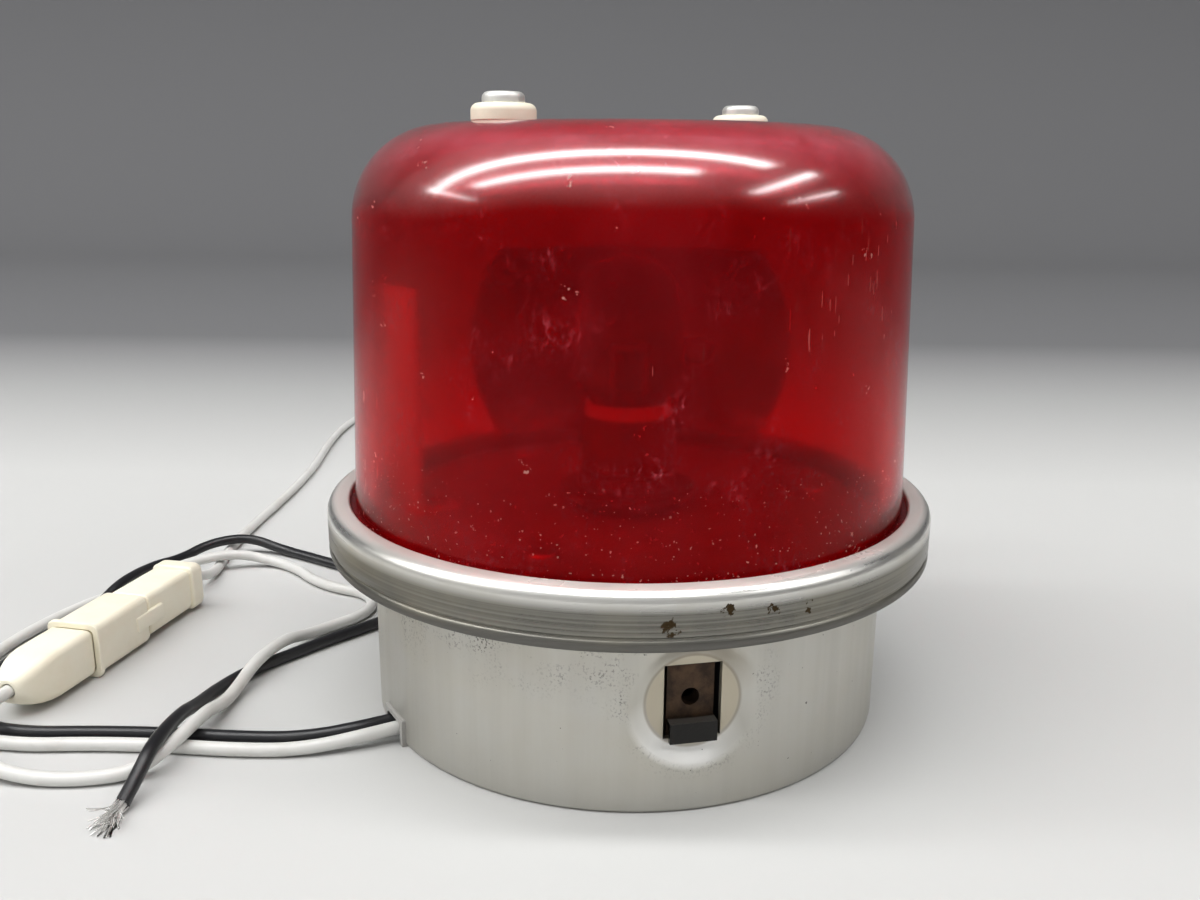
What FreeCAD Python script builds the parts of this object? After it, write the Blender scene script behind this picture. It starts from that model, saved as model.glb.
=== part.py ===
import FreeCAD, Part
import math
import operator
import os
import types
import Sketcher

# Rotating tail beacon of a light aircraft. Millimetres, +Z up, origin at the centre of the can's underside.
# The camera side is -Y, the loose leads lie on the floor towards -X.

sizes = {
    # base can, spun from sheet, with three dimples for the mounting screws and a notch for the leads
    "flange_radius": 49.4,
    "flange_width": 5.9,
    "can_wall": 1.2,
    "can_height": 30.4,
    "can_edge_radius": 0.8,
    "dimple_azimuth": -76.6,
    "dimple_height": 16.8,
    "dimple_depth": 1.6,
    "dimple_flat_radius": 6.7,
    "dimple_rim_radius": 9.0,
    "dimple_count": 3,
    "window_width": 7.9,
    "window_height": 11.3,
    "notch_azimuth": 212.0,
    "notch_width": 7.6,
    "notch_height": 4.6,
    "notch_reach": 7.0,
    # spring clip nuts behind the dimple windows
    "clip_thickness": 0.8,
    "clip_width": 7.0,
    "clip_height": 15.2,
    "clip_tongue_drop": 3.0,
    "clip_lip_drop": 6.1,
    "clip_lip_gap": 0.3,
    "thread_radius": 1.35,
    "collar_radius": 2.4,
    "collar_length": 1.8,
    # clamp ring, a rolled channel that holds dome, gasket and deck on the can's flange
    "ring_gap": 0.4,
    "ring_wall": 1.0,
    "ring_shoulder_radius": 2.2,
    "ring_bead_radius": 1.8,
    "ring_lower_lip": 3.8,
    "ring_lip_gap": 0.9,
    "ring_split": 4.0,
    "ear_thickness": 1.6,
    "ear_reach": 8.0,
    "ear_height": 7.0,
    "clamp_screw_radius": 1.6,
    "clamp_head_radius": 3.0,
    "clamp_head_height": 2.0,
    # deck, gasket and dome
    "deck_thickness": 1.2,
    "deck_rise": 2.2,
    "deck_rim_gap": 0.4,
    "deck_dome_gap": 0.5,
    "gasket_thickness": 1.6,
    "gasket_width": 5.0,
    "dome_flange_thickness": 2.8,
    "dome_wall": 3.0,
    "dome_ledge_width": 3.2,
    "dome_draft_width": 1.6,
    "dome_corner_radius": 14.5,
    "dome_height": 96.2,
    # two screws through the dome's crown, with thick nylon washers and the heat shield that they hold
    "crown_screw_inset": 5.0,
    "crown_screw_azimuth": 41.7,
    "crown_screw_radius": 1.75,
    "crown_head_radius": 3.15,
    "crown_head_height": 1.6,
    "crown_washer_radius": 4.8,
    "crown_washer_thickness": 2.6,
    "crown_washer_round": 1.0,
    "crown_gap": 0.3,
    "spacer_radius": 3.0,
    "spacer_thickness": 1.0,
    "heat_shield_thickness": 0.8,
    "heat_shield_radius": 17.0,
    "heat_shield_tab_radius": 4.6,
    "crown_nut_radius": 3.67,
    "crown_nut_height": 2.6,
    "screw_tail": 1.2,
    # glare shield, a bent plate on the deck that screens one side
    "glare_length": 11.3,
    "glare_height": 37.4,
    "glare_thickness": 0.8,
    "glare_foot": 7.0,
    "glare_inset": 7.2,
    "glare_azimuth": 196.2,
    "glare_turn": 131.4,
    # gear plate hung from the deck on standoffs
    "standoff_length": 8.8,
    "standoff_radius": 3.0,
    "standoff_inset": 5.0,
    "standoff_count": 3,
    "gear_plate_gap": 4.3,
    "gear_plate_thickness": 1.5,
    "small_screw_radius": 1.5,
    "small_screw_length": 3.6,
    "small_head_radius": 2.6,
    "small_head_height": 1.7,
    "hole_clearance": 0.2,
    # fixed lamp post with the lamp socket on its top
    "post_radius": 5.0,
    "post_bore": 3.2,
    "post_flange_radius": 8.0,
    "post_flange_thickness": 1.6,
    "post_tail": 3.6,
    "post_nut_radius": 8.2,
    "post_nut_height": 3.0,
    "thrust_washer_thickness": 0.4,
    "running_fit": 0.05,
    "axial_play": 0.1,
    # rotor that turns on the post
    "rotor_teeth": 60,
    "pinion_teeth": 14,
    "gear_width": 4.0,
    "gear_backlash": 0.3,
    "gear_spread": 0.15,
    "gear_seat_radius": 10.0,
    "hub_lead_in": 0.2,
    "hub_flange_radius": 13.0,
    "hub_flange_thickness": 1.4,
    "sleeve_radius": 8.1,
    "sleeve_length": 8.3,
    "sleeve_clearance": 1.2,
    "bush_wall": 1.4,
    "gear_rivet_inset": 1.5,
    "gear_rivet_radius": 0.9,
    "gear_rivet_head_radius": 1.4,
    "gear_rivet_head_height": 0.7,
    "gear_rivet_count": 3,
    # parabolic reflector and the bracket that carries it
    "lamp_centre": 60.8,
    "reflector_focus": 14.0,
    "reflector_radius": 27.0,
    "reflector_height": 32.0,
    "reflector_sheet": 0.8,
    "bracket_lift": 2.0,
    "bracket_thickness": 1.2,
    "bracket_radius": 11.5,
    "bracket_width": 9.0,
    "bracket_rivet_offset": 4.0,
    "bracket_rivet_radius": 1.0,
    "bracket_rivet_head": 0.8,
    # lamp socket and bayonet lamp
    "socket_gap": 0.4,
    "socket_wall": 0.5,
    "socket_length": 9.4,
    "socket_floor": 1.2,
    "socket_slot": 2.4,
    "socket_slot_depth": 3.0,
    "insulator_thickness": 1.8,
    "contact_radius": 1.6,
    "contact_length": 1.8,
    "lamp_base_radius": 7.4,
    "lamp_base_wall": 0.5,
    "lamp_base_length": 6.8,
    "bayonet_pin_radius": 0.9,
    "bayonet_pin_reach": 1.3,
    "bayonet_pin_height": 3.3,
    "bulb_radius": 9.3,
    "bulb_neck_radius": 6.6,
    "bulb_neck_length": 3.4,
    "bulb_flare": 5.0,
    "bulb_top": 76.7,
    "bulb_glass": 0.8,
    "filament_length": 7.0,
    "filament_radius": 0.6,
    "filament_post_radius": 0.35,
    # motor under the gear plate
    "motor_azimuth": -52.0,
    "motor_gap": 2.05,
    "motor_radius": 10.5,
    "motor_floor_gap": 1.2,
    "motor_edge_radius": 1.2,
    "motor_cap_length": 2.1,
    "motor_nose_radius": 3.2,
    "motor_nose_length": 2.4,
    "motor_shaft_radius": 1.2,
    "motor_shaft_depth": 4.0,
    "motor_shaft_end": 0.6,
    "motor_screw_offset": 7.0,
    "motor_screw_radius": 1.0,
    "motor_screw_length": 3.0,
    "motor_head_radius": 1.9,
    "motor_head_height": 1.1,
    # leads: grommet in the can's notch and the terminal block behind it
    "lead_radius": 1.1,
    "lead_spacing": 2.7,
    "lead_height": 2.4,
    "grommet_gap": 0.1,
    "grommet_reach": 0.6,
    "terminal_gap": 1.0,
    "terminal_length": 9.5,
    "terminal_width": 13.0,
    "terminal_height": 7.0,
    "terminal_screw_radius": 2.2,
    "terminal_screw_height": 1.4,
    "strand_radius": 0.7,
    # nylon connector on the floor
    "connector_x": -102.1,
    "connector_y": -20.5,
    "connector_heading": 79.6,
    "connector_axis": 5.25,
    "plug_size": 8.6,
    "plug_tip_size": 4.2,
    "plug_taper": 6.4,
    "plug_cheek_size": 7.2,
    "plug_length": 16.4,
    "plug_nose_size": 7.2,
    "plug_nose_length": 12.2,
    "shell_gap": 0.3,
    "collar_size": 9.4,
    "collar_depth": 12.8,
    "collar_reach": 15.3,
    "shell_size": 8.9,
    "shell_length": 15.0,
    "shell_flange_length": 4.2,
    "mouth_lip": 0.5,
    "mouth_lip_length": 1.0,
    "connector_round": 1.1,
    "latch_width": 3.0,
    "latch_length": 4.5,
    "latch_height": 0.9,
    "contact_bore": 1.4,
    "crimp_radius": 1.3,
    "crimp_length": 7.0,
    "crimp_start": 7.0,
    "pin_radius": 0.8,
    "pin_end": 34.4,
    "socket_contact_start": 30.0,
    "socket_contact_end": 43.4,
    "socket_contact_depth": 6.2,
}

# Route of each lead along its centre line, from the terminal block or the connector outwards.
white_route = [
    (-29.4, -20.0, 2.4), (-39.3, -26.2, 2.4), (-50.5, -29.9, 1.15), (-61.7, -30.2, 1.15),
    (-72.9, -29.3, 1.15), (-84.4, -29.3, 1.15), (-95.7, -30.2, 1.15), (-106.0, -28.0, 1.15),
    (-113.2, -21.4, 1.15), (-116.5, -12.0, 1.15), (-117.8, -1.8, 1.15), (-117.3, 8.3, 1.15),
    (-115.1, 18.2, 1.15), (-111.2, 28.0, 1.15), (-105.5, 37.3, 1.15), (-99.0, 44.4, 5.4),
    (-89.5, 51.6, 5.4), (-81.0, 52.6, 1.4), (-74.3, 47.9, 1.15), (-69.2, 41.7, 1.15),
    (-63.0, 37.2, 1.15), (-56.0, 34.8, 1.15), (-52.4, 28.6, 1.15), (-54.2, 21.8, 1.15),
    (-58.9, 17.0, 1.15), (-62.0, 11.9, 2.0), (-64.0, 5.4, 5.4), (-66.3, -4.2, 5.4),
    (-67.5, -10.8, 2.0), (-67.8, -17.0, 2.2), (-68.1, -22.6, 5.4), (-69.3, -32.8, 5.4),
    (-73.4, -37.5, 1.6), (-80.4, -39.5, 1.15), (-88.5, -39.7, 1.2), (-96.7, -38.2, 3.0),
    (-103.0, -33.2, 6.2), (-102.73, -23.94, 5.25), (-100.84, -13.61, 5.25),
]
black_route = [
    (-30.8, -17.7, 2.4), (-40.7, -23.9, 2.4), (-51.6, -26.4, 1.15), (-62.8, -26.4, 1.15),
    (-74.1, -25.7, 1.15), (-85.4, -25.8, 1.15), (-96.5, -26.5, 1.15), (-105.0, -24.3, 1.15),
    (-110.4, -17.9, 1.15), (-112.7, -9.2, 1.15), (-113.3, 0.1, 1.15), (-112.6, 9.3, 1.15),
    (-110.7, 18.3, 1.15), (-109.0, 25.7, 2.4), (-107.5, 32.1, 5.4), (-105.0, 41.8, 5.4),
    (-102.0, 50.0, 3.4), (-98.2, 57.0, 5.4), (-90.6, 62.2, 5.4), (-82.3, 60.6, 1.5),
    (-74.1, 56.0, 1.15), (-65.5, 50.7, 1.15), (-56.9, 46.4, 1.15), (-48.9, 40.8, 1.15),
    (-44.1, 33.3, 1.15), (-45.2, 25.0, 1.15), (-50.6, 18.1, 1.15), (-57.0, 11.1, 1.15),
    (-62.8, 3.9, 1.15), (-68.1, -3.0, 1.15), (-71.0, -10.9, 1.8), (-71.4, -18.9, 4.4),
    (-71.2, -25.2, 7.6), (-70.8, -36.5, 7.6), (-71.2, -41.5, 3.6), (-71.6, -45.7, 1.3),
]
strand_route = [(-71.6, -45.7, 1.3), (-71.69, -46.62, 0.796), (-71.8, -48.4, 0.75), (-71.4, -50.2, 0.8)]
feed_route = [
    (-94.27, 22.19, 5.25), (-92.35, 32.61, 5.25), (-92.0, 43.7, 1.2), (-94.4, 57.5, 1.15),
    (-95.2, 75.6, 1.15), (-94.4, 100.4, 1.15), (-94.9, 130.6, 1.15), (-98.6, 160.0, 1.15),
    (-100.2, 188.0, 1.15), (-96.6, 212.0, 1.15), (-82.3, 228.0, 1.15), (-62.9, 231.5, 1.15),
    (-46.2, 223.4, 1.15),
]

left, right = 1, -1
signs = {"+": operator.add, "-": operator.sub, "*": operator.mul, "/": operator.truediv}


# A number that also keeps the expression of spreadsheet cells behind it.
class Size:
    def __init__(self, text, value):
        self.text = text
        self.value = float(value)

    def __add__(self, other):
        return joined(self, "+", other)

    def __radd__(self, other):
        return joined(other, "+", self)

    def __sub__(self, other):
        return joined(self, "-", other)

    def __rsub__(self, other):
        return joined(other, "-", self)

    def __mul__(self, other):
        return joined(self, "*", other)

    def __rmul__(self, other):
        return joined(other, "*", self)

    def __truediv__(self, other):
        return joined(self, "/", other)

    def __rtruediv__(self, other):
        return joined(other, "/", self)

    def __neg__(self):
        return joined(0, "-", self)


def as_size(item):
    return item if isinstance(item, Size) else Size(repr(item), item)


def joined(first, sign, second):
    first, second = as_size(first), as_size(second)
    return Size(f"({first.text} {sign} {second.text})", signs[sign](first.value, second.value))


def cosine(angle):
    return Size(f"cos({angle.text})", math.cos(math.radians(angle.value)))


def sine(angle):
    return Size(f"sin({angle.text})", math.sin(math.radians(angle.value)))


def polar(radius, angle):
    return radius * cosine(angle), radius * sine(angle)


doc = FreeCAD.newDocument("tail_beacon")
sheet = doc.addObject("Spreadsheet::Sheet", "dims")
for row, (alias, number) in enumerate(sizes.items(), start=1):
    sheet.set(f"A{row}", alias)
    sheet.set(f"B{row}", str(number))
    sheet.setAlias(f"B{row}", alias)
doc.recompute()
d = types.SimpleNamespace(**{alias: Size(f"dims.{alias}", number) for alias, number in sizes.items()})
subparts = []

# Heights and radii that several pieces share.
can_radius = d.flange_radius - d.flange_width
can_bore = can_radius - d.can_wall
can_flange_bottom = d.can_height - d.can_wall
dimple_floor = can_radius - d.dimple_depth
dimple_back = dimple_floor - d.can_wall
deck_flange_top = d.can_height + d.deck_thickness
deck_top = deck_flange_top + d.deck_rise
deck_bottom = deck_top - d.deck_thickness
dome_bottom = deck_flange_top + d.gasket_thickness
dome_flange_top = dome_bottom + d.dome_flange_thickness
dome_base_radius = d.flange_radius - d.dome_ledge_width
dome_shoulder_radius = dome_base_radius - d.dome_draft_width
deck_step_radius = dome_base_radius - d.dome_wall - d.deck_dome_gap
dome_corner_height = d.dome_height - d.dome_corner_radius
dome_crown_radius = dome_shoulder_radius - d.dome_corner_radius
crown_screw_circle = dome_crown_radius - d.crown_screw_inset
crown_bottom = d.dome_height - d.dome_wall
spacer_bottom = crown_bottom - d.crown_gap - d.spacer_thickness
heat_shield_bottom = spacer_bottom - d.heat_shield_thickness
crown_hole = d.crown_screw_radius + d.hole_clearance
ring_bottom = can_flange_bottom - d.ring_wall
ring_top = dome_flange_top + d.ring_wall
ring_bore = d.flange_radius + d.ring_gap
ring_radius = ring_bore + d.ring_wall
gear_plate_top = deck_bottom - d.standoff_length
gear_plate_bottom = gear_plate_top - d.gear_plate_thickness
gear_plate_radius = can_bore - d.gear_plate_gap
standoff_circle = gear_plate_radius - d.standoff_inset
standoff_azimuth = d.motor_azimuth + 180 / d.standoff_count
small_hole = d.small_screw_radius + d.hole_clearance
thrust_bottom = gear_plate_top + d.post_flange_thickness
hub_bottom = thrust_bottom + d.thrust_washer_thickness + d.axial_play
gear_bottom = hub_bottom + d.hub_lead_in
gear_top = gear_bottom + d.gear_width
hub_flange_top = gear_top + d.hub_flange_thickness
sleeve_top = hub_flange_top + d.sleeve_length
bush_bore = d.post_radius + d.running_fit
bush_radius = bush_bore + d.bush_wall
socket_bottom = sleeve_top + d.socket_gap
socket_top = socket_bottom + d.socket_length
socket_bore = d.sleeve_radius - d.socket_wall
post_top = socket_bottom + d.socket_floor
insulator_top = post_top + d.insulator_thickness
lamp_base_bottom = insulator_top + d.contact_length
lamp_base_top = lamp_base_bottom + d.lamp_base_length
bulb_bottom = lamp_base_top - d.bulb_neck_length
bracket_bottom = deck_top + d.bracket_lift
bracket_top = bracket_bottom + d.bracket_thickness
bracket_front = d.reflector_focus + d.reflector_sheet
bracket_back = bracket_front + d.bracket_thickness
gear_centres = can_bore - d.motor_radius - d.motor_gap
gear_module = 2 * (gear_centres - d.gear_spread) / (d.rotor_teeth + d.pinion_teeth)
gear_rivet_circle = d.gear_seat_radius + d.gear_rivet_inset
motor_x, motor_y = polar(gear_centres, d.motor_azimuth)
motor_bottom = d.can_wall + d.motor_floor_gap + d.motor_cap_length
motor_nose_hole = d.motor_nose_radius + d.hole_clearance
shaft_bottom = gear_plate_bottom - d.motor_shaft_depth
shaft_bore = d.motor_shaft_radius + d.running_fit
receptacle_start = d.plug_length + d.shell_gap
shell_start = receptacle_start + d.collar_reach
shell_flange_start = shell_start + d.shell_length
notch_inner = can_radius - d.notch_reach
terminal_outer = notch_inner - d.terminal_gap
terminal_inner = terminal_outer - d.terminal_length
glare_x, glare_y = polar(can_bore - d.glare_inset, d.glare_azimuth)


def vector(x, y, z=0.0):
    return FreeCAD.Vector(as_size(x).value, as_size(y).value, as_size(z).value)


def bind(thing, path, size):
    thing.setExpression(path, as_size(size).text)


def sketch_on(body, name, role, lift=None):
    sketch = body.newObject("Sketcher::SketchObject", name)
    plane = next(item for item in body.Origin.OriginFeatures if item.Role == role)
    sketch.AttachmentSupport = [(plane, "")]
    sketch.MapMode = "FlatFace"
    if lift is not None:
        # a lift moves a flat sketch up the Z axis, whichever of the sketch's own axes that is
        bind(sketch, "AttachmentOffset.Base.z" if role == "XY_Plane" else "AttachmentOffset.Base.y", lift)
    return sketch


def dimension(sketch, kind, places, size):
    index = sketch.addConstraint(Sketcher.Constraint(kind, *places, as_size(size).value))
    if isinstance(size, Size):
        bind(sketch, f"Constraints[{index}]", size)


def pin(sketch, geometry, end, x, y):
    for kind, size, axis in (("DistanceX", x, -2), ("DistanceY", y, -1)):
        if isinstance(size, Size):
            dimension(sketch, kind, (geometry, end), size)
        else:
            sketch.addConstraint(Sketcher.Constraint("PointOnObject", geometry, end, axis))


def arc_between(start, end, radius, side):
    chord = end - start
    rise = math.sqrt(max(0.0, radius ** 2 - chord.Length ** 2 / 4))
    normal = FreeCAD.Vector(-chord.y, chord.x, 0).normalize() * side
    centre = (start + end) * 0.5 + normal * rise
    angles = [math.atan2(point.y - centre.y, point.x - centre.x) for point in (start, end)]
    low, high = angles if side == left else reversed(angles)
    if high < low:
        high += 2 * math.pi
    return Part.ArcOfCircle(Part.Circle(centre, FreeCAD.Vector(0, 0, 1), radius), low, high)


# Closed outline. A point is (x, y), or (x, y, radius, side) where an arc of that radius leads to it.
def draw(sketch, points):
    starts, ends = [], []
    for point, target in zip(points, points[1:] + points[:1]):
        a, b = vector(*point[:2]), vector(*target[:2])
        if len(target) == 2:
            geometry = sketch.addGeometry(Part.LineSegment(a, b))
            order = (1, 2)
        else:
            radius, side = target[2:]
            geometry = sketch.addGeometry(arc_between(a, b, as_size(radius).value, side))
            dimension(sketch, "Radius", (geometry,), radius)
            order = (1, 2) if side == left else (2, 1)
        starts.append((geometry, order[0]))
        ends.append((geometry, order[1]))
    for tail, head in zip(ends, starts[1:] + starts[:1]):
        sketch.addConstraint(Sketcher.Constraint("Coincident", *tail, *head))
    for place, point in zip(starts, points):
        pin(sketch, *place, *point[:2])
    return sketch


def draw_circles(sketch, spots):
    for x, y, radius in spots:
        geometry = sketch.addGeometry(Part.Circle(vector(x, y), FreeCAD.Vector(0, 0, 1), radius.value))
        dimension(sketch, "Radius", (geometry,), radius)
        pin(sketch, geometry, 3, x, y)
    return sketch


def rectangle(low_x, low_y, high_x, high_y):
    return [(low_x, low_y), (high_x, low_y), (high_x, high_y), (low_x, high_y)]


def new_body(label):
    return doc.addObject("PartDesign::Body", label)


def keep(thing):
    subparts.append(thing)
    return thing


def pad(body, sketch, length, symmetric=False):
    feature = body.newObject("PartDesign::Pad", sketch.Name + "_pad")
    feature.Profile = sketch
    bind(feature, "Length", length)
    if symmetric:
        feature.SideType = "Symmetric"
    return feature


def revolve(body, sketch, axis="V_Axis", kind="Revolution"):
    feature = body.newObject("PartDesign::" + kind, sketch.Name + "_turn")
    feature.Profile = sketch
    feature.ReferenceAxis = (sketch, [axis])
    feature.Angle = 360
    return feature


# A cut that has to take something away from its body; without a length it goes through everything.
def pocket(body, sketch, length=None, side="Symmetric", reverse=False):
    doc.recompute()
    before = body.Shape.Volume
    feature = body.newObject("PartDesign::Pocket", sketch.Name + "_cut")
    feature.Profile = sketch
    feature.SideType = side
    feature.Reversed = reverse
    if length is None:
        feature.Type = "ThroughAll"
    else:
        bind(feature, "Length", length)
    doc.recompute()
    if not body.Shape.Volume < before:
        raise ValueError(sketch.Name + " cuts nothing")
    return feature


def pattern(body, originals, sketch, axis, count):
    feature = body.newObject("PartDesign::PolarPattern", originals[-1].Name + "_pattern")
    feature.Originals = originals
    feature.Axis = (sketch, [axis])
    feature.Angle = 360
    bind(feature, "Occurrences", count)
    body.Tip = feature
    return feature


def turned(label, outline):
    body = new_body(label)
    revolve(body, draw(sketch_on(body, label + "_profile", "XZ_Plane"), outline))
    return body


def plate(label, outline, low, thickness):
    body = new_body(label)
    pad(body, draw(sketch_on(body, label + "_outline", "XY_Plane", low), outline), thickness)
    return body


def drill(body, name, spots):
    return pocket(body, draw_circles(sketch_on(body, name, "XY_Plane"), spots))


# One hole, repeated evenly round the Z axis.
def drill_ring(body, name, spot, count):
    sketch = draw_circles(sketch_on(body, name, "XY_Plane"), [spot])
    return pattern(body, [pocket(body, sketch)], sketch, "N_Axis", count)


def place(thing, x=0, y=0, z=0, turn=0):
    for path, size in (("Base.x", x), ("Base.y", y), ("Base.z", z), ("Rotation.Angle", turn)):
        if isinstance(size, Size):
            bind(thing, "Placement." + path, size)
    return thing


# Copies of a piece round the Z axis, kept as one group of separate solids.
def ring_of(label, make, count, circle, azimuth):
    group = doc.addObject("Part::Compound", label)
    copies = []
    for index in range(int(count.value)):
        angle = azimuth + index * 360 / count
        copies.append(place(make(f"{label}_{index + 1}"), *polar(circle, angle), turn=angle))
    group.Links = copies
    return keep(group)


def pan_screw(label, radius, length, head_radius, head_height, seat):
    brow = head_height / 2
    return turned(label, [
        (0, seat - length),
        (radius, seat - length),
        (radius, seat),
        (head_radius, seat),
        (head_radius, seat + brow),
        (head_radius - brow, seat + head_height, brow, left),
        (0, seat + head_height),
    ])


def hex_nut(label, radius, bore, bottom, height):
    prism = doc.addObject("Part::Prism", label + "_hexagon")
    hole = doc.addObject("Part::Cylinder", label + "_hole")
    bind(prism, "Circumradius", radius)
    bind(hole, "Radius", bore)
    for piece in (prism, hole):
        bind(piece, "Height", height)
        place(piece, z=bottom)
    nut = doc.addObject("Part::Cut", label)
    nut.Base = prism
    nut.Tool = hole
    return nut


def washer(label, inner, outer, bottom, thickness):
    return turned(label, rectangle(inner, bottom, outer, bottom + thickness))


# Corners of a rectangle that points along an azimuth, from one radius to another.
def radial_rectangle(inner, outer, width, azimuth):
    across_x, across_y = polar(width / 2, azimuth + 90)
    inner_x, inner_y = polar(inner, azimuth)
    outer_x, outer_y = polar(outer, azimuth)
    return [
        (inner_x - across_x, inner_y - across_y),
        (outer_x - across_x, outer_y - across_y),
        (outer_x + across_x, outer_y + across_y),
        (inner_x + across_x, inner_y + across_y),
    ]


def base_can():
    can = turned("base_can", [
        (0, 0),
        (can_radius - d.can_edge_radius, 0),
        (can_radius, d.can_edge_radius, d.can_edge_radius, left),
        (can_radius, can_flange_bottom),
        (d.flange_radius, can_flange_bottom),
        (d.flange_radius, d.can_height),
        (can_bore, d.can_height),
        (can_bore, d.can_wall),
        (0, d.can_wall),
    ])
    # each dimple is pressed inwards, so its floor stands behind the can's wall
    skin = can_bore + d.can_wall / 20
    back = draw(sketch_on(can, "dimple_back", "XZ_Plane", d.dimple_height), [
        (dimple_back, 0),
        (skin, 0),
        (skin, d.dimple_rim_radius + d.can_wall / 6),
        (dimple_back, d.dimple_flat_radius + d.can_wall / 4),
    ])
    bump = revolve(can, back, "H_Axis")
    face = draw(sketch_on(can, "dimple_face", "XZ_Plane", d.dimple_height), [
        (dimple_floor, 0),
        (can_radius + d.dimple_depth, 0),
        (can_radius + d.dimple_depth, d.dimple_rim_radius),
        (can_radius, d.dimple_rim_radius),
        (dimple_floor, d.dimple_flat_radius),
    ])
    hollow = revolve(can, face, "H_Axis", "Groove")
    half_width, half_height = d.window_width / 2, d.window_height / 2
    window = draw(sketch_on(can, "dimple_window", "YZ_Plane", d.dimple_height),
                  rectangle(-half_width, -half_height, half_width, half_height))
    opening = pocket(can, window, side="One side", reverse=True)
    pattern(can, [bump, hollow, opening], face, "V_Axis", d.dimple_count)
    notch = draw(sketch_on(can, "lead_notch", "XY_Plane"), radial_rectangle(
        notch_inner, can_radius + d.can_wall, d.notch_width,
        d.notch_azimuth - d.dimple_azimuth))
    can.Tip = pocket(can, notch, d.notch_height, "One side", True)
    return keep(place(can, turn=d.dimple_azimuth))


def clip_nut(label):
    nut = new_body(label)
    lip = dimple_floor + d.clip_lip_gap
    plate_back = dimple_back - d.clip_thickness
    strip = draw(sketch_on(nut, label + "_strip", "XZ_Plane", d.dimple_height), [
        (plate_back, -d.clip_height / 2),
        (dimple_back, -d.clip_height / 2),
        (dimple_back, -d.clip_tongue_drop - d.clip_thickness),
        (lip, -d.clip_tongue_drop - d.clip_thickness),
        (lip, -d.clip_lip_drop),
        (lip + d.clip_thickness, -d.clip_lip_drop),
        (lip + d.clip_thickness, -d.clip_tongue_drop),
        (dimple_back, -d.clip_tongue_drop),
        (dimple_back, d.clip_height / 2),
        (plate_back, d.clip_height / 2),
    ])
    pad(nut, strip, d.clip_width, symmetric=True)
    collar_end = plate_back - d.collar_length
    collar = draw(sketch_on(nut, label + "_collar", "XZ_Plane", d.dimple_height), [
        (collar_end, 0),
        (plate_back + d.clip_thickness / 2, 0),
        (plate_back + d.clip_thickness / 2, d.collar_radius),
        (collar_end, d.collar_radius),
    ])
    revolve(nut, collar, "H_Axis")
    thread = draw(sketch_on(nut, label + "_thread", "XZ_Plane", d.dimple_height), [
        (collar_end - d.clip_thickness, 0),
        (dimple_back + d.clip_thickness, 0),
        (dimple_back + d.clip_thickness, d.thread_radius),
        (collar_end - d.clip_thickness, d.thread_radius),
    ])
    revolve(nut, thread, "H_Axis", "Groove")
    return nut


def clip_nuts():
    ring_of("clip_nuts", clip_nut, d.dimple_count, as_size(0), d.dimple_azimuth)


def clamp_ring():
    lip = dome_base_radius + d.ring_lip_gap
    lower_lip = ring_bore - d.ring_lower_lip
    ring = turned("clamp_ring", [
        (lip, dome_flange_top),
        (lip, ring_top),
        (ring_radius - d.ring_shoulder_radius, ring_top),
        (ring_radius, ring_top - d.ring_shoulder_radius, d.ring_shoulder_radius, right),
        (ring_radius, ring_bottom + d.ring_bead_radius),
        (ring_radius - d.ring_bead_radius, ring_bottom, d.ring_bead_radius, right),
        (lower_lip, ring_bottom),
        (lower_lip, can_flange_bottom),
        (ring_bore, can_flange_bottom),
        (ring_bore, dome_flange_top),
    ])
    half = d.ring_split / 2
    split = draw(sketch_on(ring, "ring_split_outline", "XY_Plane"), rectangle(
        -half, lower_lip - d.ring_wall, half, ring_radius + d.ring_wall))
    pocket(ring, split)
    # two ears stand out at the split, with a screw that draws them together
    ear_bottom = (ring_bottom + ring_top - d.ear_height) / 2
    ear_root = ring_bore + d.ring_wall / 4
    ear_tip = ring_radius + d.ear_reach
    for name, side in (("right_ear", 1), ("left_ear", -1)):
        near, far = half * side, (half + d.ear_thickness) * side
        ear = draw(sketch_on(ring, name, "XY_Plane", ear_bottom), rectangle(
            min(near, far, key=lambda size: size.value), ear_root,
            max(near, far, key=lambda size: size.value), ear_tip))
        pad(ring, ear, d.ear_height)
    hole = draw_circles(sketch_on(ring, "ear_hole", "YZ_Plane"), [
        (clamp_axis_y, clamp_axis_z, d.clamp_screw_radius + d.hole_clearance)])
    ring.Tip = pocket(ring, hole)
    return keep(ring)


clamp_axis_y = ring_radius + d.ear_reach / 2
clamp_axis_z = (ring_bottom + ring_top) / 2


# The clamp screw and its nut lie along X across the ears.
def clamp_screw():
    grip = d.ring_split + 2 * d.ear_thickness
    length = grip + d.crown_nut_height + d.screw_tail
    screw = pan_screw("clamp_screw", d.clamp_screw_radius, length, d.clamp_head_radius,
                      d.clamp_head_height, grip / 2)
    nut = hex_nut("clamp_nut", d.crown_nut_radius, d.clamp_screw_radius, -grip / 2 - d.crown_nut_height,
                  d.crown_nut_height)
    for piece in (screw, nut):
        piece.Placement.Rotation = FreeCAD.Rotation(FreeCAD.Vector(0, 1, 0), 90)
        keep(place(piece, y=clamp_axis_y, z=clamp_axis_z))


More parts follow.
